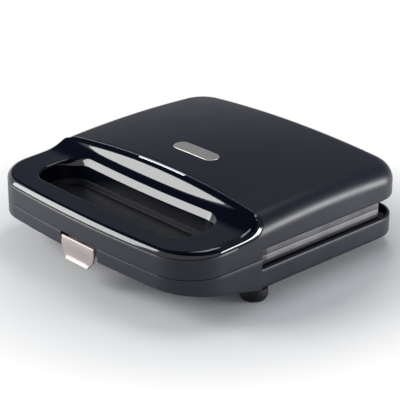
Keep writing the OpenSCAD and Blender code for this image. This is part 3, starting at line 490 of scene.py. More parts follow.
def seam_at(x):
    """Place in Y of the seam across the top."""
    return SEAM_Y - SEAM_BOW * (x / HALF_W) ** 2


def side_seam_z(y):
    """Height of the seam along the front and the sides, up to the start of its arc."""
    (y0, z0), (y1, z1) = SIDE_SEAM[:2] if y < SIDE_SEAM[1][0] else SIDE_SEAM[1:]
    return mix(z0, z1, (y - y0) / (y1 - y0))


def on_edge(y, z):
    """Place across of the lid's rounded edge at a height."""
    x = HALF_W
    for _ in range(5):
        rise = clamp((z - crown(x, y)) / EDGE_R + 1)
        x = HALF_W - EDGE_R * (1 - math.sqrt(1 - rise * rise))
    return x


def plan_normals(points):
    """Outward plan normals along an open run of outline points, front middle first."""
    out = [Vector((0, -1))]
    for i in range(1, len(points)):
        along = (points[min(i + 1, len(points) - 1)] - points[i - 1]).normalized()
        out.append(Vector((along.y, -along.x)))
    return out


def form_normal(p, foot_normal):
    """Outward normal of the lid's outer form at a point above or beside an outline point."""
    rise = clamp((p.z - crown(p.x, p.y) + EDGE_R) / EDGE_R)
    flat = math.sqrt(1 - rise * rise)
    slope_x = 2 * CROWN_W * p.x / HALF_W ** 2
    slope_y = 2 * CROWN_L * (max(p.y, CROWN_Y - CROWN_RUN) - CROWN_Y) / CROWN_RUN ** 2
    top = Vector((slope_x, slope_y, 1)).normalized()
    return (Vector((foot_normal.x * flat, foot_normal.y * flat, 0)) + top * rise).normalized()


class Seam:
    """Right half of the seam, from the front's middle over the side to the top's middle."""

    def __init__(self):
        plan = [Vector(p) for p in front_points(0)]
        side = line((HALF_W, corner_end()), (HALF_W, SIDE_SEAM[2][0]), SIDE_STEPS)
        plan += [Vector(p) for p in side]
        self.points = [Vector((p.x, p.y, side_seam_z(p.y))) for p in plan]
        self.climb()
        self.turn_over()

        # The outline point below each point, up to where the seam has turned over the edge
        last, rest = plan[-1].y, S_STEPS + TURN_STEPS
        plan += [Vector((HALF_W, mix(last, TURN_Y, k / rest))) for k in range(1, rest + 1)]
        self.feet, self.turned = plan, len(plan)

        for k in range(1, TOP_STEPS + 1):
            x = (HALF_W - EDGE_R) * (1 - k / TOP_STEPS)
            self.points.append(Vector((x, seam_at(x), crown(x, seam_at(x)))))
        normals = plan_normals(plan) + [Vector((0, 0))] * TOP_STEPS
        self.normals = [form_normal(p, n) for p, n in zip(self.points, normals)]
        runs = [b - a for a, b in zip(self.points, self.points[2:])]
        runs = [Vector((1, 0, 0))] + runs + [Vector((-1, 0, 0))]
        self.across = [n.cross(run).normalized() for n, run in zip(self.normals, runs)]

    def climb(self):
        """Up the side on the arc."""
        for k in range(1, S_STEPS + 1):
            y, z = on_arc(mix(S_START, S_END, k / S_STEPS))
            self.points.append(Vector((on_edge(y, z), y, z)))

    def turn_over(self):
        """Over the lid's rounded edge, onto its top."""
        start = self.points[-1]
        a0 = math.acos(1 - (HALF_W - start.x) / EDGE_R)
        y = start.y
        for k in range(1, TURN_STEPS + 1):
            a = mix(a0, math.pi / 2, k / TURN_STEPS)
            x = HALF_W - EDGE_R * (1 - math.cos(a))
            for _ in range(4):
                z = crown(x, y) - EDGE_R * (1 - math.sin(a))
                drop = min(z - S_CENTRE[1], 0)
                y = S_CENTRE[0] + math.sqrt(S_R ** 2 - drop ** 2)
            self.points.append(Vector((x, y, z)))

    def shifted(self, over, inward):
        """The seam moved over the surface, towards the front panel, and into the body."""
        return [p + t * over - n * inward
                for p, t, n in zip(self.points, self.across, self.normals)]


SEAM = Seam()


# Lid

def lid_shell_loops():
    """Loops over the lid's outer form, from its bottom edge to the seam and round its edge."""
    turned = SEAM.turned
    ends = SEAM.shifted(-SEAM_GAP / 2 - EDGE_BREAK, 0)
    feet = [p.copy() for p in SEAM.feet]
    side = line(feet[-1], (HALF_W, HALF_D - REAR_CORNER_R), REAR_SIDE_STEPS)
    feet += [Vector(p) for p in side + rear_points(0)]
    inner = [None] * turned + [Vector((HALF_W - EDGE_R, p[1])) for p in side]
    inner += [Vector(p) for p in rear_points(EDGE_R)]

    # The bottom edge steps up behind the front block, at an outline point that is doubled
    step = min(range(turned), key=lambda i: abs(feet[i].y - BLOCK_Y))
    feet[step].y = BLOCK_Y
    for run in (feet, inner, ends):
        run.insert(step, run[step])
    low = [LID_BOTTOM if i <= step else LID_SIDE_BOTTOM for i in range(len(feet))]
    radius = [EDGE_BREAK if i <= step else SLOT_EDGE_R for i in range(len(feet))]

    loops = []
    for k in range(LOWER_STEPS, 0, -1):
        turn = math.pi / 2 * k / LOWER_STEPS
        loop = []
        for p, z, r in zip(feet, low, radius):
            pull = 1 - r * (1 - math.cos(turn)) / HALF_W
            loop.append(Vector((p.x * pull, p.y * pull, z + r * (1 - math.sin(turn)))))
        loops.append(loop)
    for j in range(WALL_STEPS + 1):
        loop = []
        for i, p in enumerate(feet):
            top = crown(p.x, p.y) - EDGE_R
            high = min(ends[i].z, top) if i <= turned else top
            loop.append(Vector((p.x, p.y, mix(low[i] + radius[i], high, j / WALL_STEPS))))
        loops.append(loop)
    for j in range(1, EDGE_STEPS + 1):
        loops.append([lid_edge_point(i, p, inner, ends, j / EDGE_STEPS)
                      for i, p in enumerate(feet)])
    for j in range(1, CROWN_STEPS + 1):
        loop = []
        for i in range(len(feet)):
            if i <= turned:
                loop.append(ends[i].copy())
                continue
            q = inner[i].lerp(Vector((ends[i].x, ends[i].y)), j / CROWN_STEPS)
            loop.append(Vector((q.x, q.y, crown(q.x, q.y))))
        loops.append(loop)
    for inward in (EDGE_BREAK, SEAM_DEPTH):
        loop = SEAM.shifted(-SEAM_GAP / 2, inward)
        loop.insert(step, loop[step])
        loops.append(loop)
    return [mirrored(loop) for loop in loops]


def lid_edge_point(i, foot, inner, ends, share):
    """A point part of the way over the lid's rounded edge, or at the seam where that is first."""
    if i > SEAM.turned:
        a = math.pi / 2 * share
        q = foot.lerp(inner[i], 1 - math.cos(a))
        return Vector((q.x, q.y, crown(q.x, q.y) - EDGE_R * (1 - math.sin(a))))
    if ends[i].z <= crown(HALF_W, foot.y) - EDGE_R:
        return ends[i].copy()
    a = math.acos(1 - min(max(HALF_W - ends[i].x, 0), EDGE_R) / EDGE_R) * share
    x, y = HALF_W - EDGE_R * (1 - math.cos(a)), mix(foot.y, ends[i].y, share)
    return Vector((x, y, crown(x, y) - EDGE_R * (1 - math.sin(a))))


def make_lid_cover():
    obj = shell("lid_cover", lid_shell_loops(), SHELL_WALL)
    settle(obj, "lid", SATIN, ["lid_shell"])


# Front panel

def level(y):
    return LEVEL_FRONT + LEVEL_SLOPE * (y - LEVEL_FRONT_Y)


def sweep_at(x):
    """Start of the sweep, its steepest angle and its radius at a distance from the middle."""
    r = SWEEP_R * (1 + SWEEP_OPENS * (x / HALF_W) ** 2)
    y, run = seam_at(x), BEAD_R + r
    drop = (crown(x, y) - level(y - BEAD_R - SWEEP_R)) / run
    angle = math.acos(1 - min(drop, STEEPEST_DROP))
    return y - run * math.sin(angle), angle, r


def panel_z(x, y):
    """Height of the panel inside its rounded border."""
    start, angle, r = sweep_at(x)
    run = y - start
    if run <= 0:
        return level(y)
    top = r * math.sin(angle)
    if run <= top:
        eased = LEVEL_SLOPE * run * (1 - run / top)
        return level(start) + eased + r - math.sqrt(r * r - run * run)
    return level(start) + r * (1 - math.cos(angle)) + math.tan(angle) * (run - top)


def front_share(i):
    """How far a point of the seam is round the front corner, from 0 to 1."""
    return ease((i - FRONT_STEPS[0]) / FRONT_STEPS[1])


def border_half():
    """Where the panel's rounded border ends, beside each point of the seam."""
    n_front = sum(FRONT_STEPS) + 1
    turn_from = n_front + SIDE_STEPS - BORDER_TURN[0]
    turn_to = SEAM.turned + BORDER_TURN[1]
    narrow, wide = front_points(FRONT_BAND), front_points(BAND)
    out = []
    for i, p in enumerate(SEAM.points):
        if i < n_front:
            x, y = (mix(a, b, front_share(i)) for a, b in zip(narrow[i], wide[i]))
        else:
            t = ease((i - turn_from) / (turn_to - turn_from))
            reach = mix(BAND, BEAD_R * math.sin(sweep_at(p.x)[1]), t)
            x = p.x - reach * math.cos(t * math.pi / 2)
            y = p.y - reach * math.sin(t * math.pi / 2)
        out.append(Vector((x, y, panel_z(x, y))))
    return out


def pocket_half(grow):
    """Right half of the pocket's wall in plan, one point beside each point of the seam."""
    r = POCKET_R + grow
    cx, front, rear = POCKET_HALF_W - POCKET_R, POCKET_Y0 + POCKET_R, POCKET_Y1 - POCKET_R
    n_side = SIDE_STEPS + S_STEPS // 2
    n_rear = SEAM.turned - sum(FRONT_STEPS) - 1 - n_side
    points = [(0, front - r)] + line((0, front - r), (cx, front - r), FRONT_STEPS[0])
    points += arc(cx, front, r, -90, 0, FRONT_STEPS[1])
    points += line((cx + r, front), (cx + r, rear), n_side)
    points += arc(cx, rear, r, 0, 90, n_rear)
    return points + line((cx, rear + r), (0, rear + r), TOP_STEPS)


def rim_profile(turns, start):
    """Steps inward and down over the pocket's rim, from a slope to upright."""
    points, inward, down, last = [(0, 0)], 0, 0, start
    for angle, r in turns:
        count = RIM_STEPS // len(turns)
        a, b = math.radians(last), math.radians(max(angle, last))
        for t in (mix(a, b, k / count) for k in range(1, count + 1)):
            points.append((inward + r * (math.sin(t) - math.sin(a)),
                           down + r * (math.cos(a) - math.cos(t))))
        inward, down = points[-1]
        last = max(angle, last)
    return points


def rim_half():
    """The rim beside each point of the seam, as places from its outermost to the wall."""
    out = []
    for (x, y), (x1, y1) in zip(pocket_half(0), pocket_half(1)):
        share = ease(y1 - y)
        start = 0
        for _ in range(3):
            small, large = rim_profile(FRONT_RIM, 0), rim_profile(REAR_RIM, start)
            steps = [(mix(a[0], b[0], share), mix(a[1], b[1], share))
                     for a, b in zip(small, large)]
            reach = steps[-1][0]
            top = Vector((mix(x, x1, reach), mix(y, y1, reach)))
            rise = panel_z(top.x, top.y + NUDGE) - panel_z(top.x, top.y - NUDGE)
            start = math.degrees(math.atan(rise) / (2 * NUDGE)) * share
        z = panel_z(top.x, top.y)
        out.append([Vector((mix(x, x1, reach - a), mix(y, y1, reach - a), z - b))
                    for a, b in steps])
    return out


def border_handles(seam, border):
    """Curve handles of the rounded border, from the seam to where the border ends."""
    out = []
    for i, (p, q, across) in enumerate(zip(seam, border, SEAM.across)):
        d = Vector((q.x - p.x, q.y - p.y)).normalized() * NUDGE
        rise = panel_z(q.x + d.x, q.y + d.y) - panel_z(q.x - d.x, q.y - d.y)
        along = Vector((2 * d.x, 2 * d.y, rise)).normalized()
        turn = max(math.acos(max(-1.0, min(1.0, across.dot(along)))), LEAST_TURN)
        reach = (q - p).length * 2 / 3 * math.tan(turn / 4) / math.sin(turn / 2)
        keep = mix(BAND_TURN, 1, front_share(i))
        out.append((p, p + across * reach, q - along * reach * keep, q))
    return out


def panel_loops():
    """Loops from the seam over the border, the level and the sweep, down into the pocket."""
    seam = SEAM.shifted(SEAM_GAP / 2 + EDGE_BREAK, 0)
    border = border_half()
    rims = rim_half()
    loops = [SEAM.shifted(SEAM_GAP / 2, SEAM_DEPTH), SEAM.shifted(SEAM_GAP / 2, EDGE_BREAK), seam]
    handles = border_handles(seam, border)
    for j in range(1, BEAD_STEPS + 1):
        loops.append([bezier(*run, j / BEAD_STEPS) for run in handles])
    for j in range(1, LEVEL_STEPS + 1):
        loop = []
        for q, rim in zip(border, rims):
            x, y = mix(q.x, rim[0].x, j / LEVEL_STEPS), mix(q.y, rim[0].y, j / LEVEL_STEPS)
            loop.append(Vector((x, y, panel_z(x, y))))
        loops.append(loop)
    for j in range(1, RIM_STEPS + 1):
        loops.append([rim[j] for rim in rims])
    for z in (LEDGE_Z + LEDGE_LIP, LEDGE_Z):
        loops.append([Vector((x, y, z)) for x, y in pocket_half(0)])
    return [mirrored(loop) for loop in loops]


def make_front_panel():
    obj = shell("panel_cover", panel_loops(), PANEL_WALL)
    settle(obj, "lid", GLOSS, ["front_panel"])


def make_tray():
    """The pocket's floor and the ledge round it."""
    loops = [mirrored([Vector((x, y, z)) for x, y in pocket_half(grow)]) for grow, z in TRAY_RINGS]
    across, along = TRAY_MIDDLE
    middle = [Vector((p.x * across, (p.y - POCKET_MID_Y) * along + POCKET_MID_Y, TRAY_TOP))
              for p in loops[-1]]
    verts, faces = loft(loops + [middle])
    faces.append(tuple(range(len(verts) - len(middle), len(verts))))
    obj = modify(raw("pocket_floor", verts, faces), "SOLIDIFY", thickness=TRAY_WALL * MM, offset=-1)
    settle(obj, "lid", POCKET)


# Base

def chin(y):
    """Height of the base's underside, which rises towards the front."""
    t = clamp((BLOCK_Y - y) / (BLOCK_Y + HALF_D))
    return BASE_Z + CHIN_RISE * (1 - (1 - t) ** CHIN_CURVE)


def base_plan(inset):
    """Right half of the base's outline; its side panel stands back behind the front block."""
    side = HALF_W - inset - PANEL_BACK
    points = front_points(inset)
    points += line(points[-1], (HALF_W - inset, BLOCK_Y), BLOCK_STEPS) + [(side, BLOCK_Y)]
    points += line((side, BLOCK_Y), (side, HALF_D - REAR_CORNER_R), BASE_SIDE_STEPS)
    return points + rear_points(inset + PANEL_BACK)


def base_loops():
    """Loops from inside the top edge down the wall and over the underside to its middle."""
    split = sum(FRONT_STEPS) + BLOCK_STEPS + 1

    # Inset and fall in edge radii, but the lip's inset in mm, and how far down the wall
    rows = [(SHELL_WALL, 0, 0), (1, 0, 0), (0.3, 0.3, 0), (0, 1, 0)]
    rows += [(0, 1, k / BASE_WALL_STEPS) for k in range(1, BASE_WALL_STEPS)]
    loops = []
    for inset, fall, down in rows:
        loop = []
        wide, narrow = (base_plan(inset if inset > 1 else inset * r)
                        for r in (SIDE_EDGE_R, EDGE_BREAK))
        for i in range(len(wide)):
            if i < split:
                (x, y), r, top = narrow[i], EDGE_BREAK, BASE_TOP
                low = chin(y) + BLOCK_BOTTOM_R
            else:
                (x, y), r, top = wide[i], SIDE_EDGE_R, BASE_SIDE_TOP
                low = BASE_Z + SIDE_BOTTOM_R
            loop.append(Vector((x, y, mix(top - fall * r, low, down))))
        loops.append(loop)
    for k in range(UNDER_EDGE_STEPS + 1):
        turn = math.pi / 2 * k / UNDER_EDGE_STEPS
        loop = []
        for i, (p, q) in enumerate(zip(base_plan(0), base_plan(1))):
            r = BLOCK_BOTTOM_R if i < split else SIDE_BOTTOM_R
            x, y = (mix(a, b, r * (1 - math.cos(turn))) for a, b in zip(p, q))
            loop.append(Vector((x, y, chin(y) + r * (1 - math.sin(turn)))))
        loops.append(loop)
    edge = loops[-1]
    for k in UNDERSIDE_RINGS:
        loop = [Vector((p.x * k, p.y * k, 0)) for p in edge]
        loop[split] = loop[split - 1].copy()
        for p in loop:
            p.z = chin(p.y)
        loops.append(loop)
    return [mirrored(loop) for loop in loops]


def recess():
    """The room that the latch needs in the base's front."""
    return box("recess", (-RECESS_HALF, RECESS_FRONT, 0), (RECESS_HALF, RECESS_BACK, RECESS_TOP))


def make_wells(cover):
    """Cuts the screw wells into the base's cover and lines them."""
    wells = []
    for node in ("lower_plate_screws", "base_deck_screws"):
        for x, y in screw_places(node):
            ends = (BASE_Z + z for z in WELL_CUT)
            cut(cover, tube("well_hole", x, y, WELL_R, 0, *ends), solver="FAST")
            low, top = chin(y) + WELL_LIFT, span(node, Z)[0] - WELL_GAP
            wells.append(tube("well", x, y, WELL_R, WELL_WALL, low, top))
    return join(wells, "screw_wells")


def make_bay():
    """The walls round the latch's recess."""
    sides = (-RECESS_HALF - BAY_WALL, RECESS_HALF + BAY_WALL)
    ends = (-HALF_D + BAY_FRONT, RECESS_BACK + BAY_WALL)
    corners = [(x, y, z) for x in sides for y in ends
               for z in (chin(y) + BAY_FLOOR, BASE_TOP - BAY_DROP)]
    bay = raw("latch_bay", corners, BOX_SIDES)
    cut(bay, recess())
    dress(bay, "base", SATIN)


def make_knuckles():
    """The base's half of the hinges, which the pins run in."""
    parts = []
    for side in (-1, 1):
        for k in (-1, 1):
            x = side * HINGE_X + k * KNUCKLE_STEP
            x0, x1 = x - KNUCKLE_HALF, x + KNUCKLE_HALF
            parts.append(rod("base_knuckle", x0, x1, HINGE_Y, HINGE_Z, KNUCKLE_R, KNUCKLE_EDGE))
            parts.append(box("base_knuckle_web", (x0, HINGE_Y - KNUCKLE_R, KNUCKLE_WEB_Z),
                             (x1, HALF_D - KNUCKLE_WEB_BACK, HINGE_Z)))
    dress(join(parts, "base_knuckles"), "base", SATIN)


def make_base():
    cover = shell("base_cover", base_loops(), SHELL_WALL, up=False)
    cut(cover, recess(), solver="FAST")
    wells = make_wells(cover)
    settle(cover, "base", SATIN, ["base_shell"])
    dress(wells, "base", SATIN)
    make_bay()
    make_knuckles()


# Plates, latch and trim

def bare_sides(obj):
    """The outer sides of a cooking plate are bare cast metal near its edge and coated below."""

    def change(work):
        for place, normal in (((0, 0, BARE_Z * MM), (0, 0, 1)), ((0, BARE_Y * MM, 0), (0, 1, 0))):
            geometry = work.verts[:] + work.edges[:] + work.faces[:]
            bmesh.ops.bisect_plane(
                work, geom=geometry, plane_co=place, plane_no=normal, dist=WELD)
        reach = [max(v.co[axis] for v in work.verts) - BARE_REACH * MM for axis in (X, Y)]
        for face in work.faces:
            centre = face.calc_center_median()
            outer = abs(centre.x) > reach[X] or centre.y > reach[Y]
            near = centre.z > BARE_Z * MM and centre.y > BARE_Y * MM
            face.material_index = int(outer and near and abs(face.normal.z) < BARE_UPRIGHT)

    reshape(obj, change)
    obj.data.materials.append(CAST)


def make_latch():
    """The formed plate with its curled lip, the barrel it turns on and its hooks."""
    loops = []
    for u in LATCH_ACROSS:
        loops.append([(mix(LIP_HALF, LATCH_HALF, clamp((z - LIP_Z) / LIP_RISE)) * u, y, z)
                      for y, z in LATCH_SECTION])
    dress(capped("latch_plate", loops), "latch", LATCH, ["latch"], 0.4, 3)
    parts = [rod("barrel", -LATCH_HALF, LATCH_HALF, LATCH_Y, LATCH_Z, BARREL_R)]
    parts.append(box("web", (-LATCH_HALF + 1, WEB_Y, LATCH_Z - 1),
                     (LATCH_HALF - 1, LATCH_Y, LATCH_Z + 1)))
    top = span("latch", Z)[1]
    for x in (-HOOK_X, HOOK_X):
        x0, x1, back = x - HOOK_HALF, x + HOOK_HALF, HOOK_Y + HOOK_T
        parts.append(box("hook", (x0, HOOK_Y, LATCH_Z), (x1, back, top)))
        parts.append(box("arm", (x0, LATCH_Y, LATCH_Z - 1), (x1, back, LATCH_Z + 1)))
    dress(join(parts, "latch_hooks"), "latch", LATCH)


def stadium(half, r, cy):
    """A round-ended bar in plan, centred on the middle plane."""
    flat = half - r
    right = [(flat + px, cy + py) for px, py in arc(0, 0, r, -90, 90, STADIUM_END_STEPS)]
    left = [(-flat + px, cy + py) for px, py in arc(0, 0, r, 90, 270, STADIUM_END_STEPS)]
    places = [flat * (1 - 2 * k / STADIUM_FLAT_STEPS) for k in range(1, STADIUM_FLAT_STEPS)]
    rear, front = [(x, cy + r) for x in places], [(-x, cy - r) for x in places]
    return right + rear + left + front


def make_badge():
    (x0, x1), (y0, y1) = span("badge", X), span("badge", Y)
    cy, half, r = (y0 + y1) / 2, (x1 - x0) / 2, (y1 - y0) / 2
    loops = []
    for inset, rise in BADGE_RINGS:
        ring = stadium(half - inset, r - inset, cy)
        loops.append([(x, y, crown(x, y) + rise) for x, y in ring])
    dress(capped("badge_plate", loops), "lid", BADGE, ["badge"], 0.05, 1)


def make_lens():
    x1 = span("indicator_lens", X)[1]
    loops = []
    for k in range(LENS_STEPS + 1):
        x = mix(-x1, x1, k / LENS_STEPS)
        y = seam_at(x) - SEAM_GAP
        loops.append([(x, y + dy, crown(x, y) + dz) for dy, dz in LENS_SECTION])
    dress(capped("lens_strip", loops), "lid", LENS, ["indicator_lens"], 0.15)


def make_foot(node):
    (x0, x1), (y0, y1) = span(node, X), span(node, Y)
    cx, cy, r = (x0 + x1) / 2, (y0 + y1) / 2, (x1 - x0) / 2
    rings = [(r - back, z) for back, z in FOOT_SOLE]
    for degrees in range(-90, 1, FOOT_EDGE_STEP):
        a = math.radians(degrees)
        rings.append((r - FOOT_EDGE_R + FOOT_EDGE_R * math.cos(a), FOOT_EDGE_H * (1 + math.sin(a))))
    rings += [(r - back, BASE_Z + rise) for back, rise in FOOT_TOP]
    turn = circle(FOOT_SIDES)
    loops = [[(cx + q * math.cos(a), cy + q * math.sin(a), z) for a in turn] for q, z in rings]
    obj = capped(node.replace("foot", "rubber_foot"), loops)
    dress(obj, "base", RUBBER, [node], 0.1)


# Materials

MOTTLE_SCALE, MOTTLE_DETAIL = 45, 5
GRAIN_DETAIL = 3
NOISE_ROUGHNESS = 0.6
RELIEF_DEPTH = 0.0003
# Sharp edges are painted lighter: partly wear, partly painted highlight
WEAR_AND_HIGHLIGHT_FROM, WEAR_AND_HIGHLIGHT_TO = 0.52, 0.62
WEAR_AND_HIGHLIGHT_GAIN, WEAR_AND_HIGHLIGHT_LIFT = 1.6, 0.02


def node_material(name):
    material = bpy.data.materials.new(name)
    material.use_nodes = True
    tree = material.node_tree
    return material, tree, tree.nodes["Principled BSDF"]


def noise(tree, scale, detail):
    place = tree.nodes.new("ShaderNodeTexCoord")
    node = tree.nodes.new("ShaderNodeTexNoise")
    node.inputs["Scale"].default_value = scale
    node.inputs["Detail"].default_value = detail
    node.inputs["Roughness"].default_value = NOISE_ROUGHNESS
    tree.links.new(place.outputs["Object"], node.inputs["Vector"])
    return node.outputs["Fac"]


def spread(tree, source, low, high, from_low=0.3, from_high=0.7):
    """A value that runs from low to high over a source's range."""
    node = tree.nodes.new("ShaderNodeMapRange")
    sockets = (("From Min", from_low), ("From Max", from_high), ("To Min", low), ("To Max", high))
    for key, value in sockets:
        node.inputs[key].default_value = value
    tree.links.new(source, node.inputs["Value"])
    return node.outputs["Result"]


def maths(tree, operation, *sources):
    node = tree.nodes.new("ShaderNodeMath")
    node.operation = operation
    node.use_clamp = True
    for source, socket in zip(sources, node.inputs):
        tree.links.new(source, socket)
    return node.outputs["Value"]


def colour_mix(tree, **colours):
    """A mix of the colours A and B; one that isn't given is linked later."""
    node = tree.nodes.new("ShaderNodeMix")
    node.data_type = "RGBA"
    for socket, colour in colours.items():
        node.inputs[socket].default_value = (*colour, 1)
    return node


def finish(name, color, rough, metal=0.0, grain=700, bump=0.02, vary=0.05, shade=0.08, wear_and_highlight=0.25,
           specular=0.5):
    """A moulded, coated or metal surface: fine grain, uneven gloss, mottling, lighter edges that
    are partly wear and partly painted highlight.
    """
    material, tree, shader = node_material(name)
    fine = noise(tree, grain, GRAIN_DETAIL)
    broad = noise(tree, MOTTLE_SCALE, MOTTLE_DETAIL)
    tint = colour_mix(tree, A=[c * (1 - shade) for c in color], B=[c * (1 + shade) for c in color])
    tree.links.new(spread(tree, broad, 0, 1), tint.inputs["Factor"])
    # Lighter colour where the mesh is sharp: partly wear, partly painted highlight
    edge = colour_mix(tree, B=[min(c * WEAR_AND_HIGHLIGHT_GAIN + WEAR_AND_HIGHLIGHT_LIFT, 1) for c in color])
    bend = tree.nodes.new("ShaderNodeNewGeometry").outputs["Pointiness"]
    tree.links.new(spread(tree, bend, 0, wear_and_highlight, WEAR_AND_HIGHLIGHT_FROM, WEAR_AND_HIGHLIGHT_TO), edge.inputs["Factor"])
    tree.links.new(tint.outputs["Result"], edge.inputs["A"])
    tree.links.new(edge.outputs["Result"], shader.inputs["Base Color"])
    tree.links.new(spread(tree, broad, rough - vary, rough + vary), shader.inputs["Roughness"])
    shader.inputs["Metallic"].default_value = metal
    shader.inputs["Specular IOR Level"].default_value = specular
    relief = tree.nodes.new("ShaderNodeBump")
    relief.inputs["Strength"].default_value = bump
    relief.inputs["Distance"].default_value = RELIEF_DEPTH
    tree.links.new(fine, relief.inputs["Height"])
    tree.links.new(relief.outputs["Normal"], shader.inputs["Normal"])
    return material


SATIN = finish("satin", (0.0095, 0.0115, 0.020), 0.4,
               grain=1400, bump=0.12, vary=0.03, specular=0.35)
GLOSS = finish("gloss", (0.003, 0.004, 0.009), 0.06, grain=300, bump=0.004, vary=0.02, wear_and_highlight=0)
POCKET = finish("pocket_floor", (0.010, 0.011, 0.015), 0.48, grain=1400, bump=0.15, specular=0.22)
PLATE = finish("coated_plate", (0.035, 0.035, 0.037), 0.42, 0.2, grain=2600, bump=0.5, shade=0.3)
CAST = finish("cast_side", (0.12, 0.12, 0.125), 0.5, 0.4, grain=2200, bump=0.6, shade=0.25)
# Painted shade: the real reflectors are bright steel, and this dark metal stands for the shade
# inside the slot
PAINTED_SHADE_SHEET = finish("painted_shade_sheet", (0.06, 0.06, 0.065), 0.5, 1.0, grain=900, bump=0.08)
STEEL = finish("sheet_steel", (0.45, 0.45, 0.46), 0.35, 1.0, grain=900, bump=0.08)
HEATER = finish("heater_tube", (0.20, 0.19, 0.18), 0.5, 1.0, grain=1500, bump=0.3, shade=0.3)
CERAMIC = finish("ceramic", (0.72, 0.69, 0.62), 0.55, grain=1200, bump=0.15)
WIRE = finish("wire_sleeve", (0.50, 0.48, 0.44), 0.6, grain=2000, bump=0.4)
RUBBER = finish("rubber", (0.007, 0.007, 0.009), 0.55, grain=1800, bump=0.25, specular=0.2)
# The latch's strongly lighter edges are partly wear, partly painted highlight
LATCH = finish("latch_paint", (0.33, 0.29, 0.275), 0.4, 0.3,
               grain=2200, bump=0.1, shade=0.04, wear_and_highlight=0.8)
BADGE = finish("badge_metal", (0.50, 0.475, 0.43), 0.36, 0.6, grain=2200, bump=0.12, wear_and_highlight=0.5)
LENS = finish("lens", (0.85, 0.87, 0.90), 0.15, grain=300, bump=0.01, wear_and_highlight=0)
RED = finish("red_glass", (0.5, 0.02, 0.02), 0.1, grain=300, bump=0.01)
GREEN = finish("green_glass", (0.02, 0.4, 0.05), 0.1, grain=300, bump=0.01)

CARRIED = {
    "lower_element": HEATER, "upper_element": HEATER, "thermostat": CERAMIC,
    "thermal_fuse": CERAMIC, "terminal_block": CERAMIC, "base_wiring": WIRE,
    # The reflectors take the painted shade sheet
    "lead_gland": RUBBER, "lamp_holder": SATIN, "lower_reflector": PAINTED_SHADE_SHEET,
    "upper_reflector": PAINTED_SHADE_SHEET, "red_lamp": RED, "green_lamp": GREEN,
}


def dress_carried():
    """Materials for the CAD nodes that are shown as they are."""
    for name, obj in NODES.items():
        obj.data.materials.clear()
        obj.data.materials.append(CARRIED.get(name, STEEL))
        obj.data.shade_smooth()
        obj.data.set_sharp_from_angle(angle=CARRIED_SMOOTH_ANGLE)


dress_carried()
make_lid_cover()
make_front_panel()
make_tray()
make_base()
make_latch()
make_badge()
make_lens()
for foot in ("foot_front_left", "foot_front_right", "foot_rear_left", "foot_rear_right"):
    make_foot(foot)
bare_sides(rounded_copy("lower_plate", "lower_griddle", "base", PLATE, 0.5))
bare_sides(rounded_copy("upper_plate", "upper_griddle", "lid", PLATE, 0.5))
rounded_copy("base_deck", "base_top_deck", "base", SATIN)
rounded_copy("handle_tray", "lid_tray", "lid", POCKET)


# Camera, lights and stage

CAMERA_TARGET = Vector((0, 0, 55)) * MM
CAMERA_BACK = Vector((0.6802, -0.6244, 0.3840))
CAMERA_DISTANCE = 1215.794 * MM
SENSOR_MM = 36
FOCAL_PX = 1569.825
IMAGE_PX = 400
AXIS_PX = (194.814, 173.824)

# Name, direction, distance in metres, width and height in metres, and power in watts
LAMPS = (
    ("left_box", (-0.68, -0.69, 0.25), 0.9, (0.48, 0.74), 11),
    ("top_box", (-0.05, 0.30, 0.95), 1.0, (0.4, 0.4), 2.0),
    ("right_box", (0.79, 0.61, 0.05), 0.9, (0.5, 0.2), 8),
)

# Surround: a dim light on the object, and what reflections show of the room
AMBIENT_COLOUR, AMBIENT = (0.8, 0.88, 1), 0.3
CEILING = (0.010, 0.011, 0.014)
REAR_WALL = (0.18, 0.19, 0.24)
REAR_FROM = (0.3, 0.55)
HORIZON = (0.42, 0.48)
SLANT = (0, 0.45, 1)

# Table: half its side, and where it fades into the surround
TABLE_R = 900
TABLE_FADE = (150, 235)
TABLE_COLOUR = (0.8, 0.8, 0.8, 1)
TABLE_ROUGHNESS, TABLE_SPECULAR = 0.9, 0.1


def make_camera():
    data = bpy.data.cameras.new("camera")
    data.sensor_width = SENSOR_MM
    data.lens = FOCAL_PX / IMAGE_PX * data.sensor_width
    data.shift_x = (IMAGE_PX / 2 - AXIS_PX[0]) / IMAGE_PX
    data.shift_y = (AXIS_PX[1] - IMAGE_PX / 2) / IMAGE_PX
    obj = placed("camera", data)
    obj.location = CAMERA_TARGET + CAMERA_BACK.normalized() * CAMERA_DISTANCE
    obj.rotation_euler = CAMERA_BACK.to_track_quat("Z", "Y").to_euler()
    bpy.context.scene.camera = obj


def make_lamp(name, direction, distance, size, power):
    data = bpy.data.lights.new(name, "AREA")
    data.shape = "RECTANGLE"
    data.size, data.size_y = size
    data.energy = power
    obj = placed(name, data)
    direction = Vector(direction).normalized()
    obj.location = CAMERA_TARGET + direction * distance
    obj.rotation_euler = direction.to_track_quat("Z", "Y").to_euler()


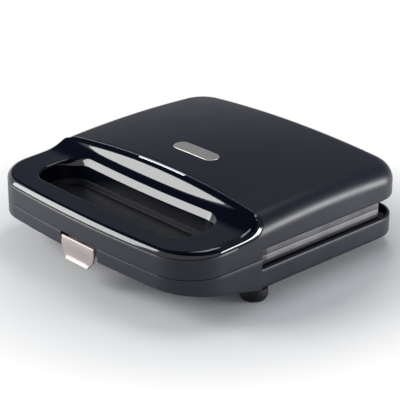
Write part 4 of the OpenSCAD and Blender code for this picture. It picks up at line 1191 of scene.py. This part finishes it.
def backdrop():
    """A pale surround, which reflections show up to a slanted horizon, under a dark ceiling."""
    world = bpy.data.worlds.new("studio")
    bpy.context.scene.world = world
    world.use_nodes = True
    tree = world.node_tree
    dim = tree.nodes["Background"]
    dim.inputs["Color"].default_value = (*AMBIENT_COLOUR, 1)
    dim.inputs["Strength"].default_value = AMBIENT
    paths, place = tree.nodes.new("ShaderNodeLightPath"), tree.nodes.new("ShaderNodeTexCoord")
    slant = tree.nodes.new("ShaderNodeVectorMath")
    slant.operation = "DOT_PRODUCT"
    slant.inputs[1].default_value = SLANT
    tree.links.new(place.outputs["Generated"], slant.inputs[0])
    shade = colour_mix(tree, A=(1, 1, 1))
    rear = colour_mix(tree, A=CEILING, B=REAR_WALL)
    side = tree.nodes.new("ShaderNodeSeparateXYZ")
    tree.links.new(place.outputs["Generated"], side.inputs["Vector"])
    tree.links.new(spread(tree, side.outputs["Y"], 0, 1, *REAR_FROM), rear.inputs["Factor"])
    tree.links.new(rear.outputs["Result"], shade.inputs["B"])
    above = spread(tree, slant.outputs["Value"], 0, 1, *HORIZON)
    above = maths(tree, "SUBTRACT", above, paths.outputs["Is Camera Ray"])
    tree.links.new(above, shade.inputs["Factor"])
    white = tree.nodes.new("ShaderNodeBackground")
    white.inputs["Strength"].default_value = 1
    tree.links.new(shade.outputs["Result"], white.inputs["Color"])
    pick, seen = tree.nodes.new("ShaderNodeMixShader"), paths.outputs["Is Camera Ray"]
    for kind in ("Is Glossy Ray", "Is Transmission Ray"):
        seen = maths(tree, "MAXIMUM", seen, paths.outputs[kind])
    tree.links.new(seen, pick.inputs["Fac"])
    tree.links.new(dim.outputs["Background"], pick.inputs[1])
    tree.links.new(white.outputs["Background"], pick.inputs[2])
    tree.links.new(pick.outputs["Shader"], tree.nodes["World Output"].inputs["Surface"])


def make_table():
    """A white table that fades into the surround."""
    corners = [(x * TABLE_R, y * TABLE_R, 0) for x, y in ((-1, -1), (1, -1), (1, 1), (-1, 1))]
    obj = raw("table", corners, [(0, 1, 2, 3)])
    material, tree, shader = node_material("table")
    shader.inputs["Base Color"].default_value = TABLE_COLOUR
    shader.inputs["Roughness"].default_value = TABLE_ROUGHNESS
    shader.inputs["Specular IOR Level"].default_value = TABLE_SPECULAR
    place, reach = tree.nodes.new("ShaderNodeTexCoord"), tree.nodes.new("ShaderNodeVectorMath")
    reach.operation = "LENGTH"
    tree.links.new(place.outputs["Object"], reach.inputs[0])
    clear = tree.nodes.new("ShaderNodeBsdfTransparent")
    pick = tree.nodes.new("ShaderNodeMixShader")
    fade = spread(tree, reach.outputs["Value"], 0, 1, *(r * MM for r in TABLE_FADE))
    tree.links.new(fade, pick.inputs["Fac"])
    tree.links.new(shader.outputs["BSDF"], pick.inputs[1])
    tree.links.new(clear.outputs["BSDF"], pick.inputs[2])
    tree.links.new(pick.outputs["Shader"], tree.nodes["Material Output"].inputs["Surface"])
    obj.data.materials.append(material)


make_camera()
backdrop()
make_table()
for lamp in LAMPS:
    make_lamp(*lamp)
bpy.context.scene.view_settings.view_transform = "Standard"
